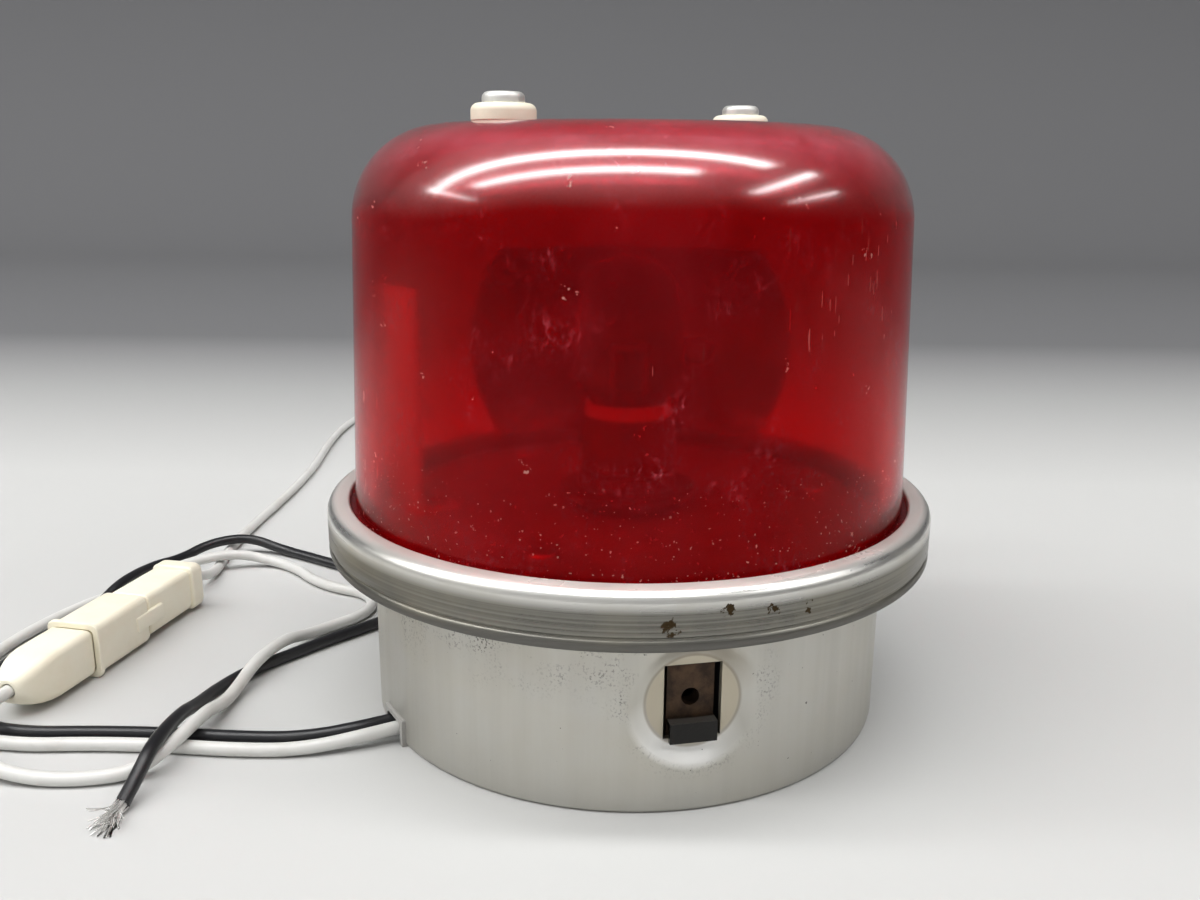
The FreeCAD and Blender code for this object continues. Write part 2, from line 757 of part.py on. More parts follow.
def deck_plate():
    rim = d.flange_radius - d.deck_rim_gap
    step_bore = deck_step_radius - d.deck_thickness
    deck = turned("deck_plate", [
        (d.sleeve_radius + d.sleeve_clearance, deck_bottom),
        (step_bore, deck_bottom),
        (step_bore, d.can_height),
        (rim, d.can_height),
        (rim, deck_flange_top),
        (deck_step_radius, deck_flange_top),
        (deck_step_radius, deck_top),
        (d.sleeve_radius + d.sleeve_clearance, deck_top),
    ])
    drill_ring(deck, "deck_screw_hole", (*polar(standoff_circle, standoff_azimuth), small_hole),
               d.standoff_count)
    holes = drill(deck, "glare_screw_holes", [(*spot, d.motor_screw_radius) for spot in glare_screw_spots()])
    deck.Tip = holes
    return keep(deck)


def dome_gasket():
    keep(washer("dome_gasket", d.flange_radius - d.gasket_width, d.flange_radius, deck_flange_top,
                d.gasket_thickness))


def crown_spots():
    x, y = polar(crown_screw_circle, d.crown_screw_azimuth)
    return [(x, y), (-x, -y)]


def dome():
    inner_corner = d.dome_corner_radius - d.dome_wall
    shell = turned("dome", [
        (dome_base_radius - d.dome_wall, dome_bottom),
        (d.flange_radius, dome_bottom),
        (d.flange_radius, dome_flange_top),
        (dome_base_radius, dome_flange_top),
        (dome_shoulder_radius, dome_corner_height),
        (dome_crown_radius, d.dome_height, d.dome_corner_radius, left),
        (0, d.dome_height),
        (0, crown_bottom),
        (dome_crown_radius, crown_bottom),
        (dome_shoulder_radius - d.dome_wall, dome_corner_height, inner_corner, right),
    ])
    shell.Tip = drill(shell, "crown_holes", [(x, y, crown_hole) for x, y in crown_spots()])
    return keep(shell)


def nylon_washer(label):
    top = d.dome_height + d.crown_washer_thickness
    edge = d.crown_washer_round
    return turned(label, [
        (crown_hole, d.dome_height),
        (d.crown_washer_radius, d.dome_height),
        (d.crown_washer_radius, top - edge),
        (d.crown_washer_radius - edge, top, edge, left),
        (crown_hole, top),
    ])


def crown_screw(label):
    seat = d.dome_height + d.crown_washer_thickness
    length = seat - heat_shield_bottom + d.crown_nut_height + d.screw_tail
    return pan_screw(label, d.crown_screw_radius, length, d.crown_head_radius, d.crown_head_height, seat)


def crown_fastenings():
    def pair(label, make):
        ring_of(label, make, as_size(2), crown_screw_circle, d.crown_screw_azimuth)

    def spacer(label):
        return washer(label, crown_hole, d.spacer_radius, spacer_bottom, d.spacer_thickness)

    def nut(label):
        return hex_nut(label, d.crown_nut_radius, d.crown_screw_radius,
                       heat_shield_bottom - d.crown_nut_height, d.crown_nut_height)

    pair("dome_screws", crown_screw)
    pair("dome_washers", nylon_washer)
    pair("heat_shield_spacers", spacer)
    pair("heat_shield_nuts", nut)


def heat_shield():
    shield = new_body("heat_shield")
    disc = draw_circles(sketch_on(shield, "heat_shield_disc", "XY_Plane", heat_shield_bottom),
                        [(0, 0, d.heat_shield_radius)])
    pad(shield, disc, d.heat_shield_thickness)
    reach, half = crown_screw_circle, d.heat_shield_tab_radius
    strap = draw(sketch_on(shield, "heat_shield_strap", "XY_Plane", heat_shield_bottom),
                 rectangle(-reach, -half, reach, half))
    pad(shield, strap, d.heat_shield_thickness)
    ends = draw_circles(sketch_on(shield, "heat_shield_ends", "XY_Plane", heat_shield_bottom),
                        [(reach, 0, half), (-reach, 0, half)])
    pad(shield, ends, d.heat_shield_thickness)
    shield.Tip = drill(shield, "heat_shield_holes", [(reach, 0, crown_hole), (-reach, 0, crown_hole)])
    return keep(place(shield, turn=d.crown_screw_azimuth))


def glare_screw_spots():
    step = d.glare_length / 4
    along_x, along_y = polar(step, d.glare_turn)
    in_x, in_y = polar(d.glare_foot / 2 + d.glare_thickness / 2, d.glare_turn - 90)
    return [(glare_x + along_x * share + in_x, glare_y + along_y * share + in_y) for share in (1, 3)]


def glare_shield():
    shield = new_body("glare_shield")
    bend = draw(sketch_on(shield, "glare_bend", "YZ_Plane"), [
        (-d.glare_foot, 0),
        (d.glare_thickness, 0),
        (d.glare_thickness, d.glare_height),
        (0, d.glare_height),
        (0, d.glare_thickness),
        (-d.glare_foot, d.glare_thickness),
    ])
    pad(shield, bend, d.glare_length)
    step, middle = d.glare_length / 4, -(d.glare_foot + d.glare_thickness) / 2
    hole = d.motor_screw_radius + d.hole_clearance
    shield.Tip = drill(shield, "glare_foot_holes", [(step, middle, hole), (step * 3, middle, hole)])
    keep(place(shield, glare_x, glare_y, deck_top, d.glare_turn))
    screws = doc.addObject("Part::Compound", "glare_shield_screws")
    seat = deck_top + d.glare_thickness
    screws.Links = [
        place(pan_screw(f"glare_screw_{index}", d.motor_screw_radius, d.motor_screw_length,
                        d.motor_head_radius, d.motor_head_height, seat), *spot)
        for index, spot in enumerate(glare_screw_spots(), start=1)
    ]
    keep(screws)


def gear_plate():
    hub_hole = d.post_radius + d.hole_clearance
    floor = washer("gear_plate", hub_hole, gear_plate_radius, gear_plate_bottom, d.gear_plate_thickness)
    drill_ring(floor, "plate_screw_hole", (*polar(standoff_circle, standoff_azimuth), small_hole),
               d.standoff_count)
    spots = [(motor_x, motor_y, motor_nose_hole)]
    spots += [(x, y, d.motor_screw_radius + d.hole_clearance) for x, y in motor_screw_spots()]
    floor.Tip = drill(floor, "motor_holes", spots)
    return keep(floor)


def standoffs():
    def post(label):
        return washer(label, small_hole, d.standoff_radius, gear_plate_top, d.standoff_length)

    def deck_screw(label):
        return pan_screw(label, d.small_screw_radius, d.small_screw_length + d.deck_thickness,
                         d.small_head_radius, d.small_head_height, deck_top)

    def plate_screw(label):
        reach = d.small_screw_length + d.gear_plate_thickness
        return turned(label, [
            (0, gear_plate_bottom - d.small_head_height),
            (d.small_head_radius, gear_plate_bottom - d.small_head_height),
            (d.small_head_radius, gear_plate_bottom),
            (d.small_screw_radius, gear_plate_bottom),
            (d.small_screw_radius, gear_plate_bottom + reach),
            (0, gear_plate_bottom + reach),
        ])

    ring_of("standoffs", post, d.standoff_count, standoff_circle, standoff_azimuth)
    ring_of("deck_screws", deck_screw, d.standoff_count, standoff_circle, standoff_azimuth)
    ring_of("gear_plate_screws", plate_screw, d.standoff_count, standoff_circle, standoff_azimuth)


def lamp_post():
    keep(turned("lamp_post", [
        (d.post_bore, gear_plate_bottom - d.post_tail),
        (d.post_radius, gear_plate_bottom - d.post_tail),
        (d.post_radius, gear_plate_top),
        (d.post_flange_radius, gear_plate_top),
        (d.post_flange_radius, thrust_bottom),
        (d.post_radius, thrust_bottom),
        (d.post_radius, post_top),
        (d.post_bore, post_top),
    ]))
    keep(hex_nut("lamp_post_nut", d.post_nut_radius, d.post_radius, gear_plate_bottom - d.post_nut_height,
                 d.post_nut_height))
    keep(washer("thrust_washer", bush_bore, d.post_flange_radius, thrust_bottom, d.thrust_washer_thickness))


def rotor_hub():
    hub = turned("rotor_hub", [
        (bush_radius, hub_bottom),
        (d.gear_seat_radius, hub_bottom),
        (d.gear_seat_radius, gear_top),
        (d.hub_flange_radius, gear_top),
        (d.hub_flange_radius, hub_flange_top),
        (d.sleeve_radius, hub_flange_top),
        (d.sleeve_radius, sleeve_top),
        (bush_radius, sleeve_top),
    ])
    drill_ring(hub, "hub_rivet_hole", (gear_rivet_circle, 0, d.gear_rivet_radius), d.gear_rivet_count)
    keep(hub)
    keep(washer("rotor_bush", bush_bore, bush_radius, hub_bottom, sleeve_top - hub_bottom))

    def rivet(label):
        return pan_screw(label, d.gear_rivet_radius, hub_flange_top - gear_bottom, d.gear_rivet_head_radius,
                         d.gear_rivet_head_height, hub_flange_top)

    ring_of("gear_rivets", rivet, d.gear_rivet_count, gear_rivet_circle, as_size(0))


def involute(angle):
    return math.tan(angle) - angle


# Outline of a spur gear: each flank is an arc through three points of its involute.
def gear_outline(teeth, phase):
    pressure = math.radians(20)
    module = gear_module.value
    pitch = module * teeth / 2
    base = pitch * math.cos(pressure)
    tip, root = pitch + module, pitch - 1.25 * module
    foot = max(base, root)
    half_at_pitch = (math.pi * module - d.gear_backlash.value) / (4 * pitch)

    def half_angle(radius):
        return half_at_pitch + involute(pressure) - involute(math.acos(min(1.0, base / radius)))

    def at(radius, angle):
        return FreeCAD.Vector(radius * math.cos(angle), radius * math.sin(angle), 0)

    edges = []
    step = 2 * math.pi / teeth
    for index in range(teeth):
        middle = phase + index * step
        flank = [(radius, half_angle(radius)) for radius in (foot, (foot + tip) / 2, tip)]
        rising = [at(radius, middle - half) for radius, half in flank]
        falling = [at(radius, middle + half) for radius, half in reversed(flank)]
        edges.append(Part.Arc(*rising))
        edges.append(Part.Arc(rising[-1], at(tip, middle), falling[0]))
        edges.append(Part.Arc(*falling))
        gap_start, gap_end = middle + flank[0][1], middle + step - flank[0][1]
        if foot > root:
            edges.append(Part.LineSegment(falling[-1], at(root, gap_start)))
        edges.append(Part.Arc(at(root, gap_start), at(root, middle + step / 2), at(root, gap_end)))
        if foot > root:
            edges.append(Part.LineSegment(at(root, gap_end), at(foot, gap_end)))
    return Part.Wire([edge.toShape() for edge in edges])


def gear(label, teeth, phase, holes):
    outline = gear_outline(int(teeth.value), math.radians(phase.value))
    face = Part.makeFace([outline] + holes, "Part::FaceMakerBullseye")
    wheel = doc.addObject("Part::Feature", label)
    wheel.Shape = face.extrude(FreeCAD.Vector(0, 0, d.gear_width.value))
    return keep(wheel)


def hole_wire(radius, x=0, y=0):
    circle = Part.Circle(vector(x, y), FreeCAD.Vector(0, 0, 1), radius.value)
    return Part.Wire(circle.toShape())


def gear_pair():
    holes = [hole_wire(d.gear_seat_radius)]
    for index in range(int(d.gear_rivet_count.value)):
        spot = polar(gear_rivet_circle, 360 * index / d.gear_rivet_count)
        holes.append(hole_wire(d.gear_rivet_radius, *spot))
    place(gear("ring_gear", d.rotor_teeth, d.motor_azimuth, holes), z=gear_bottom)
    # a gap of the pinion faces the ring gear's tooth on the line of centres
    phase = d.motor_azimuth + 180 + 180 / d.pinion_teeth
    pinion = gear("drive_pinion", d.pinion_teeth, phase, [hole_wire(d.motor_shaft_radius)])
    place(pinion, motor_x, motor_y, gear_bottom)


# Dish of pressed sheet: a parabola turned about the beam axis, trimmed flat above and below.
def reflector():
    focus, reach, sheet_metal = d.reflector_focus.value, d.reflector_radius.value, d.reflector_sheet.value
    centre = d.lamp_centre.value
    stations = 7

    def curve(back):
        points = []
        for index in range(stations):
            radius = reach * index / (stations - 1)
            points.append(FreeCAD.Vector(0, focus + back - radius ** 2 / (4 * focus), centre + radius))
        spline = Part.BSplineCurve()
        spline.interpolate(points)
        return spline

    front, behind = curve(0), curve(sheet_metal)
    edges = [front, Part.LineSegment(front.EndPoint, behind.EndPoint), behind,
             Part.LineSegment(behind.StartPoint, front.StartPoint)]
    section = Part.Face(Part.Wire(Part.__sortEdges__([edge.toShape() for edge in edges])))
    dish = section.revolve(FreeCAD.Vector(0, 0, centre), FreeCAD.Vector(0, 1, 0), 360)
    height = d.reflector_height.value
    band = Part.makeBox(3 * reach, 3 * reach, height, FreeCAD.Vector(-1.5 * reach, -1.5 * reach,
                                                                     centre - height / 2))
    shell = dish.common(band)
    for offset in (-1, 1):
        shell = shell.cut(bracket_rivet_hole(offset))
    piece = doc.addObject("Part::Feature", "reflector")
    piece.Shape = shell
    return keep(piece)


def bracket_rivet_hole(offset):
    start = vector(0, 0, d.lamp_centre + offset * d.bracket_rivet_offset)
    return Part.makeCylinder(d.bracket_rivet_radius.value, 3 * d.reflector_focus.value, start,
                             FreeCAD.Vector(0, 1, 0))


def reflector_bracket():
    bracket = new_body("reflector_bracket")
    foot = draw_circles(sketch_on(bracket, "bracket_foot", "XY_Plane", bracket_bottom),
                        [(0, 0, d.bracket_radius)])
    pad(bracket, foot, d.bracket_thickness)
    half = d.bracket_width / 2
    arm = draw(sketch_on(bracket, "bracket_arm", "XY_Plane", bracket_bottom),
               rectangle(-half, d.sleeve_radius, half, bracket_back))
    pad(bracket, arm, d.bracket_thickness)
    leg = draw(sketch_on(bracket, "bracket_leg", "XY_Plane", bracket_bottom),
               rectangle(-half, bracket_front, half, bracket_back))
    pad(bracket, leg, d.lamp_centre + 2 * d.bracket_rivet_offset - bracket_bottom)
    pocket(bracket, draw_circles(sketch_on(bracket, "bracket_bore", "XY_Plane"),
                                 [(0, 0, d.sleeve_radius)]))
    holes = draw_circles(sketch_on(bracket, "bracket_rivet_holes", "XZ_Plane", d.lamp_centre), [
        (0, d.bracket_rivet_offset, d.bracket_rivet_radius),
        (0, -d.bracket_rivet_offset, d.bracket_rivet_radius),
    ])
    bracket.Tip = pocket(bracket, holes)
    keep(bracket)
    rivets = doc.addObject("Part::Compound", "reflector_rivets")
    rivets.Links = [bracket_rivet(offset) for offset in (-1, 1)]
    keep(rivets)


# A rivet through the dish and the bracket's leg, with its head on the leg's back.
def bracket_rivet(offset):
    drop = d.bracket_rivet_offset * d.bracket_rivet_offset / (4 * d.reflector_focus)
    grip = d.reflector_sheet + d.bracket_thickness + drop
    head = d.bracket_rivet_head
    rivet = turned("reflector_rivet_low" if offset < 0 else "reflector_rivet_high", [
        (0, -grip),
        (d.bracket_rivet_radius, -grip),
        (d.bracket_rivet_radius, 0),
        (d.bracket_rivet_radius + head, 0),
        (d.bracket_rivet_radius, head, head, left),
        (0, head),
    ])
    rivet.Placement.Rotation = FreeCAD.Rotation(FreeCAD.Vector(1, 0, 0), -90)
    return place(rivet, y=bracket_back, z=d.lamp_centre + offset * d.bracket_rivet_offset)


def lamp_socket():
    socket = turned("lamp_socket", [
        (d.post_radius, socket_bottom),
        (d.sleeve_radius, socket_bottom),
        (d.sleeve_radius, socket_top),
        (socket_bore, socket_top),
        (socket_bore, post_top),
        (d.post_radius, post_top),
    ])
    half = d.socket_slot / 2
    slots = draw(sketch_on(socket, "bayonet_slots", "XZ_Plane"),
                 rectangle(-half, socket_top - d.socket_slot_depth, half, socket_top + d.socket_slot))
    socket.Tip = pocket(socket, slots)
    keep(socket)
    keep(washer("socket_insulator", d.contact_radius, socket_bore, post_top, d.insulator_thickness))
    keep(turned("socket_contact", [
        (0, post_top),
        (d.contact_radius, post_top),
        (d.contact_radius, lamp_base_bottom),
        (0, lamp_base_bottom),
    ]))


def lamp():
    bore = d.lamp_base_radius - d.lamp_base_wall
    base = turned("lamp_base", [
        (0, lamp_base_bottom),
        (d.lamp_base_radius, lamp_base_bottom),
        (d.lamp_base_radius, lamp_base_top),
        (bore, lamp_base_top),
        (bore, bulb_bottom),
        (0, bulb_bottom),
    ])
    pins = draw_circles(sketch_on(base, "bayonet_pins", "XZ_Plane", lamp_base_bottom),
                        [(0, d.bayonet_pin_height, d.bayonet_pin_radius)])
    pad(base, pins, 2 * (d.lamp_base_radius + d.bayonet_pin_reach), symmetric=True)
    hollow = draw_circles(sketch_on(base, "lamp_base_hollow", "XY_Plane", bulb_bottom), [(0, 0, bore)])
    base.Tip = pocket(base, hollow, d.lamp_base_length, "One side", True)
    keep(base)
    glass, neck = d.bulb_glass, d.bulb_neck_radius
    flare_top = lamp_base_top + d.bulb_flare
    crown = d.bulb_top - d.bulb_radius
    keep(turned("lamp_bulb", [
        (0, bulb_bottom),
        (neck, bulb_bottom),
        (neck, lamp_base_top),
        (d.bulb_radius, flare_top),
        (d.bulb_radius, crown),
        (0, d.bulb_top, d.bulb_radius, left),
        (0, d.bulb_top - glass),
        (d.bulb_radius - glass, crown, d.bulb_radius - glass, right),
        (d.bulb_radius - glass, flare_top),
        (neck - glass, lamp_base_top),
        (neck - glass, bulb_bottom + glass),
        (0, bulb_bottom + glass),
    ]))
    stem_bottom = bulb_bottom + glass
    filament = new_body("lamp_filament")
    coil = draw_circles(sketch_on(filament, "filament_coil", "YZ_Plane"),
                        [(0, d.lamp_centre, d.filament_radius)])
    pad(filament, coil, d.filament_length, symmetric=True)
    reach = d.filament_length / 2 - 2 * d.filament_post_radius
    posts = draw_circles(sketch_on(filament, "filament_posts", "XY_Plane", stem_bottom),
                         [(reach, 0, d.filament_post_radius), (-reach, 0, d.filament_post_radius)])
    filament.Tip = pad(filament, posts, d.lamp_centre - stem_bottom)
    keep(filament)


def motor_screw_spots():
    across_x, across_y = polar(d.motor_screw_offset, d.motor_azimuth + 90)
    return [(motor_x + across_x * side, motor_y + across_y * side) for side in (-1, 1)]


def motor():
    case = turned("motor_case", [
        (0, motor_bottom),
        (d.motor_radius, motor_bottom),
        (d.motor_radius, gear_plate_bottom - d.motor_edge_radius),
        (d.motor_radius - d.motor_edge_radius, gear_plate_bottom, d.motor_edge_radius, left),
        (d.motor_nose_radius, gear_plate_bottom),
        (d.motor_nose_radius, gear_plate_bottom + d.motor_nose_length),
        (shaft_bore, gear_plate_bottom + d.motor_nose_length),
        (shaft_bore, shaft_bottom),
        (0, shaft_bottom),
    ])
    taps = draw_circles(sketch_on(case, "motor_taps", "XY_Plane", gear_plate_bottom), [
        (d.motor_screw_offset, 0, d.motor_screw_radius), (-d.motor_screw_offset, 0, d.motor_screw_radius)])
    case.Tip = pocket(case, taps, d.motor_screw_length, "One side")
    keep(place(case, motor_x, motor_y, turn=d.motor_azimuth + 90))
    cap = turned("motor_end_cap", rectangle(0, motor_bottom - d.motor_cap_length,
                                            d.motor_radius - d.motor_edge_radius, motor_bottom))
    keep(place(cap, motor_x, motor_y))
    shaft = turned("motor_shaft", rectangle(0, shaft_bottom + d.axial_play, d.motor_shaft_radius,
                                            gear_top + d.motor_shaft_end))
    keep(place(shaft, motor_x, motor_y))
    screws = doc.addObject("Part::Compound", "motor_screws")
    screws.Links = [
        place(pan_screw(f"motor_screw_{index}", d.motor_screw_radius, d.motor_screw_length,
                        d.motor_head_radius, d.motor_head_height, gear_plate_top), *spot)
        for index, spot in enumerate(motor_screw_spots(), start=1)
    ]
    keep(screws)


def lead_exit():
    inner = notch_inner + d.grommet_gap
    outer = can_radius + d.grommet_reach
    half = d.notch_width / 2 - d.grommet_gap
    grommet = new_body("wire_grommet")
    block = draw(sketch_on(grommet, "grommet_block", "XY_Plane"), rectangle(inner, -half, outer, half))
    pad(grommet, block, d.notch_height - d.grommet_gap)
    hole = d.lead_radius + d.grommet_gap
    holes = draw_circles(sketch_on(grommet, "grommet_holes", "YZ_Plane", d.lead_height), [
        (d.lead_spacing / 2, 0, hole), (-d.lead_spacing / 2, 0, hole)])
    grommet.Tip = pocket(grommet, holes)
    keep(place(grommet, turn=d.notch_azimuth))
    block = plate("terminal_block", rectangle(terminal_inner, -d.terminal_width / 2, terminal_outer,
                                              d.terminal_width / 2), d.can_wall, d.terminal_height)
    keep(place(block, turn=d.notch_azimuth))
    middle = (terminal_inner + terminal_outer) / 2
    screws = doc.addObject("Part::Compound", "terminal_screws")
    heads = []
    for index, side in enumerate((-1, 1), start=1):
        x, y = polar(middle, d.notch_azimuth)
        across_x, across_y = polar(d.terminal_width / 4 * side, d.notch_azimuth + 90)
        head = turned(f"terminal_screw_{index}", rectangle(
            0, d.can_wall + d.terminal_height, d.terminal_screw_radius,
            d.can_wall + d.terminal_height + d.terminal_screw_height))
        heads.append(place(head, x + across_x, y + across_y))
    screws.Links = heads
    keep(screws)


# Round cord along straight runs joined by the largest arcs that the runs leave room for.
def cord(label, route, radius):
    corners = [FreeCAD.Vector(*point) for point in route]
    edges, radii = [], []
    at = corners[0]
    for before, corner, after in zip(corners, corners[1:], corners[2:]):
        back, ahead = before - corner, after - corner
        half_turn = (math.pi - back.getAngle(ahead)) / 2
        setback = 0.45 * min(back.Length, ahead.Length)
        bend = setback / math.tan(half_turn)
        back.normalize()
        ahead.normalize()
        start, end = corner + back * setback, corner + ahead * setback
        middle = corner + (back + ahead).normalize() * (bend / math.cos(half_turn) - bend)
        edges.append(Part.LineSegment(at, start))
        edges.append(Part.Arc(start, middle, end))
        radii.append(bend)
        at = end
    edges.append(Part.LineSegment(at, corners[-1]))
    path = Part.Wire([edge.toShape() for edge in edges])
    section = Part.Wire(Part.Circle(corners[0], corners[1] - corners[0], radius).toShape())
    tube = path.makePipeShell([section], True, False)
    whole = math.pi * radius ** 2 * path.Length
    if abs(tube.Volume - whole) > 0.01 * whole:
        raise ValueError(label + " does not fill its route")
    print(label, "length", round(path.Length, 1), "bend radii", [round(bend, 1) for bend in radii])
    piece = doc.addObject("Part::Feature", label)
    piece.Shape = tube
    return keep(piece)


def leads():
    cord("white_lead", white_route, d.lead_radius.value)
    cord("black_lead", black_route, d.lead_radius.value)
    cord("black_lead_strands", strand_route, d.strand_radius.value)
    cord("feed_lead", feed_route, d.lead_radius.value)


# Square section about the connector's own axis, which runs along local X.
def square(sketch, size):
    half = size / 2
    return draw(sketch, rectangle(-half, -half, half, half))


def square_run(body, name, size, start, length):
    sketch = square(sketch_on(body, name, "YZ_Plane", d.connector_axis), size)
    bind(sketch, "AttachmentOffset.Base.z", start)
    return pad(body, sketch, length)


def axis_bore(body, name, radius):
    return pocket(body, draw_circles(sketch_on(body, name, "YZ_Plane", d.connector_axis), [(0, 0, radius)]))


# Rounds the long edges that run along the connector's axis and are at least as long as given.
def round_long_edges(body, name, base, shortest):
    doc.recompute()
    names = []
    for index, edge in enumerate(base.Shape.Edges, start=1):
        low, high = edge.BoundBox.XMin, edge.BoundBox.XMax
        if high - low > shortest and edge.Curve.TypeId == "Part::GeomLine":
            names.append(f"Edge{index}")
    fillet = body.newObject("PartDesign::Fillet", name)
    fillet.Base = (base, names)
    bind(fillet, "Radius", d.connector_round)
    return fillet


def connector_place(thing):
    return keep(place(thing, d.connector_x, d.connector_y, turn=d.connector_heading))


def plug_housing():
    plug = new_body("plug_housing")
    body = square_run(plug, "plug_body", d.plug_size, d.plug_taper, d.plug_length - d.plug_taper)
    round_long_edges(plug, "plug_rounding", body, d.plug_length.value / 4)
    tip = square(sketch_on(plug, "plug_tip", "YZ_Plane", d.connector_axis), d.plug_tip_size)
    cheek = square(sketch_on(plug, "plug_cheek", "YZ_Plane", d.connector_axis), d.plug_cheek_size)
    bind(cheek, "AttachmentOffset.Base.z", d.plug_taper / 2)
    shoulder = square(sketch_on(plug, "plug_shoulder", "YZ_Plane", d.connector_axis),
                      d.plug_size - d.connector_round / 2)
    bind(shoulder, "AttachmentOffset.Base.z", d.plug_taper)
    taper = plug.newObject("PartDesign::AdditiveLoft", "plug_tapering")
    taper.Profile = tip
    taper.Sections = [cheek, shoulder]
    taper.Ruled = True
    square_run(plug, "plug_nose", d.plug_nose_size, d.plug_length, d.plug_nose_length)
    plug.Tip = axis_bore(plug, "plug_bore", d.contact_bore)
    connector_place(plug)


def receptacle_housing():
    shell = new_body("receptacle_housing")
    body = square_run(shell, "shell_body", d.shell_size, shell_start, d.shell_length)
    round_long_edges(shell, "shell_rounding", body, d.shell_length.value / 2)
    square_run(shell, "shell_collar", d.collar_size, receptacle_start, d.collar_reach)
    square_run(shell, "shell_mouth", d.collar_size + 2 * d.mouth_lip, receptacle_start, d.mouth_lip_length)
    square_run(shell, "shell_flange", d.collar_size, shell_flange_start, d.shell_flange_length)
    half = d.latch_width / 2
    latch = draw(sketch_on(shell, "shell_latch", "XY_Plane", d.connector_axis - half), rectangle(
        shell_start - d.latch_length, -d.collar_size / 2 - d.latch_height, shell_start + d.latch_length,
        -d.shell_size / 2 + d.latch_height))
    pad(shell, latch, d.latch_width)
    cavity = square(sketch_on(shell, "shell_cavity", "YZ_Plane", d.connector_axis),
                    d.plug_nose_size + 2 * d.shell_gap)
    bind(cavity, "AttachmentOffset.Base.z", receptacle_start)
    pocket(shell, cavity, d.collar_depth, "One side", True)
    shell.Tip = axis_bore(shell, "shell_bore", d.contact_bore)
    connector_place(shell)


# A crimped contact is turned about the connector's axis, so it is drawn upright and laid down.
def lay_down(thing):
    across = FreeCAD.Rotation(FreeCAD.Vector(0, 1, 0), 90)
    heading = FreeCAD.Rotation(FreeCAD.Vector(0, 0, 1), d.connector_heading.value)
    thing.Placement.Rotation = heading * across
    return keep(place(thing, d.connector_x, d.connector_y, d.connector_axis))


def contacts():
    crimp_end = d.crimp_start + d.crimp_length
    lay_down(turned("pin_contact", [
        (0, d.crimp_start),
        (d.crimp_radius, d.crimp_start),
        (d.crimp_radius, crimp_end),
        (d.pin_radius, crimp_end),
        (d.pin_radius, d.pin_end),
        (0, d.pin_end),
    ]))
    bore = d.pin_radius + d.running_fit
    floor = d.socket_contact_start + d.socket_contact_depth
    lay_down(turned("socket_contact_sleeve", [
        (bore, d.socket_contact_start),
        (d.crimp_radius, d.socket_contact_start),
        (d.crimp_radius, d.socket_contact_end),
        (0, d.socket_contact_end),
        (0, floor),
        (bore, floor),
    ]))


base_can()
clip_nuts()
clamp_ring()
clamp_screw()
deck_plate()
dome_gasket()
dome()
crown_fastenings()
heat_shield()
glare_shield()
gear_plate()
standoffs()
lamp_post()
rotor_hub()
gear_pair()
reflector()
reflector_bracket()
lamp_socket()
lamp()
motor()
lead_exit()
leads()
plug_housing()
receptacle_housing()
contacts()

doc.recompute()
for thing in doc.Objects:
    if {"Invalid", "Error"} & set(thing.State):
        raise ValueError(f"{thing.Label} failed: {thing.State}")
os.makedirs("parts", exist_ok=True)
for piece in subparts:
    if piece.Shape.isNull() or not piece.Shape.isValid() or not piece.Shape.Solids:
        raise ValueError(f"{piece.Label} has no sound solid")
for piece in subparts:
    piece.Shape.exportStep(f"parts/{piece.Label}.step")
print(len(subparts), "pieces")
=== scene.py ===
import math
import bmesh
import bpy
from mathutils import Matrix, Vector


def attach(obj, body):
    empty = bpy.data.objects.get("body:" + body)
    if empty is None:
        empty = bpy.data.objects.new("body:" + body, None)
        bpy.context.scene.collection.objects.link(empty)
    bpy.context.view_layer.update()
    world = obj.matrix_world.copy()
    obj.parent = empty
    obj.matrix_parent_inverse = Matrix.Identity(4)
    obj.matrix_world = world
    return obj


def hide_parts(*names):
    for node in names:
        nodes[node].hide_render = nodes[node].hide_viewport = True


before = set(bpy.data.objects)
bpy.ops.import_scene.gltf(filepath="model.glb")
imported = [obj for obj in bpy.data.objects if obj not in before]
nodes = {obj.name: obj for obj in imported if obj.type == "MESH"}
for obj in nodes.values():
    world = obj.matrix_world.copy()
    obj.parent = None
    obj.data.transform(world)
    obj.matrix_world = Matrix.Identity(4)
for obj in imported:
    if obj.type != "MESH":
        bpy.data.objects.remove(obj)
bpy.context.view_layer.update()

mm = 0.001


def addObject(name, data):
    added = bpy.data.objects.new(name, data)
    bpy.context.scene.collection.objects.link(added)
    return added


# Camera, set to the photograph's view of a 1200 by 900 frame

cameraSet = {
    "lens": 32.4,
    "sensor": 36.0,
    "place": (0.0, -180.5, 89.8),  # mm, in the part's frame
    "yaw": -0.0266,
    "pitch": 0.2553,  # downwards
    "roll": 0.0076,
}


def makeCamera():
    data = bpy.data.cameras.new("photoCamera")
    data.lens = cameraSet["lens"]
    data.sensor_width = cameraSet["sensor"]
    data.clip_start = 0.01
    camera = addObject("photoCamera", data)
    yaw, pitch, roll = cameraSet["yaw"], cameraSet["pitch"], cameraSet["roll"]
    ahead = Vector((math.sin(yaw) * math.cos(pitch), math.cos(yaw) * math.cos(pitch), -math.sin(pitch)))
    side = ahead.cross(Vector((0, 0, 1))).normalized()
    top = side.cross(ahead)
    turnedSide = side * math.cos(roll) + top * math.sin(roll)
    turnedTop = top * math.cos(roll) - side * math.sin(roll)
    turn = Matrix((turnedSide, turnedTop, -ahead)).transposed().to_4x4()
    camera.matrix_world = Matrix.Translation(Vector(cameraSet["place"]) * mm) @ turn
    bpy.context.scene.camera = camera


makeCamera()
print("camera ready")


# Material helpers, all on Object coordinates

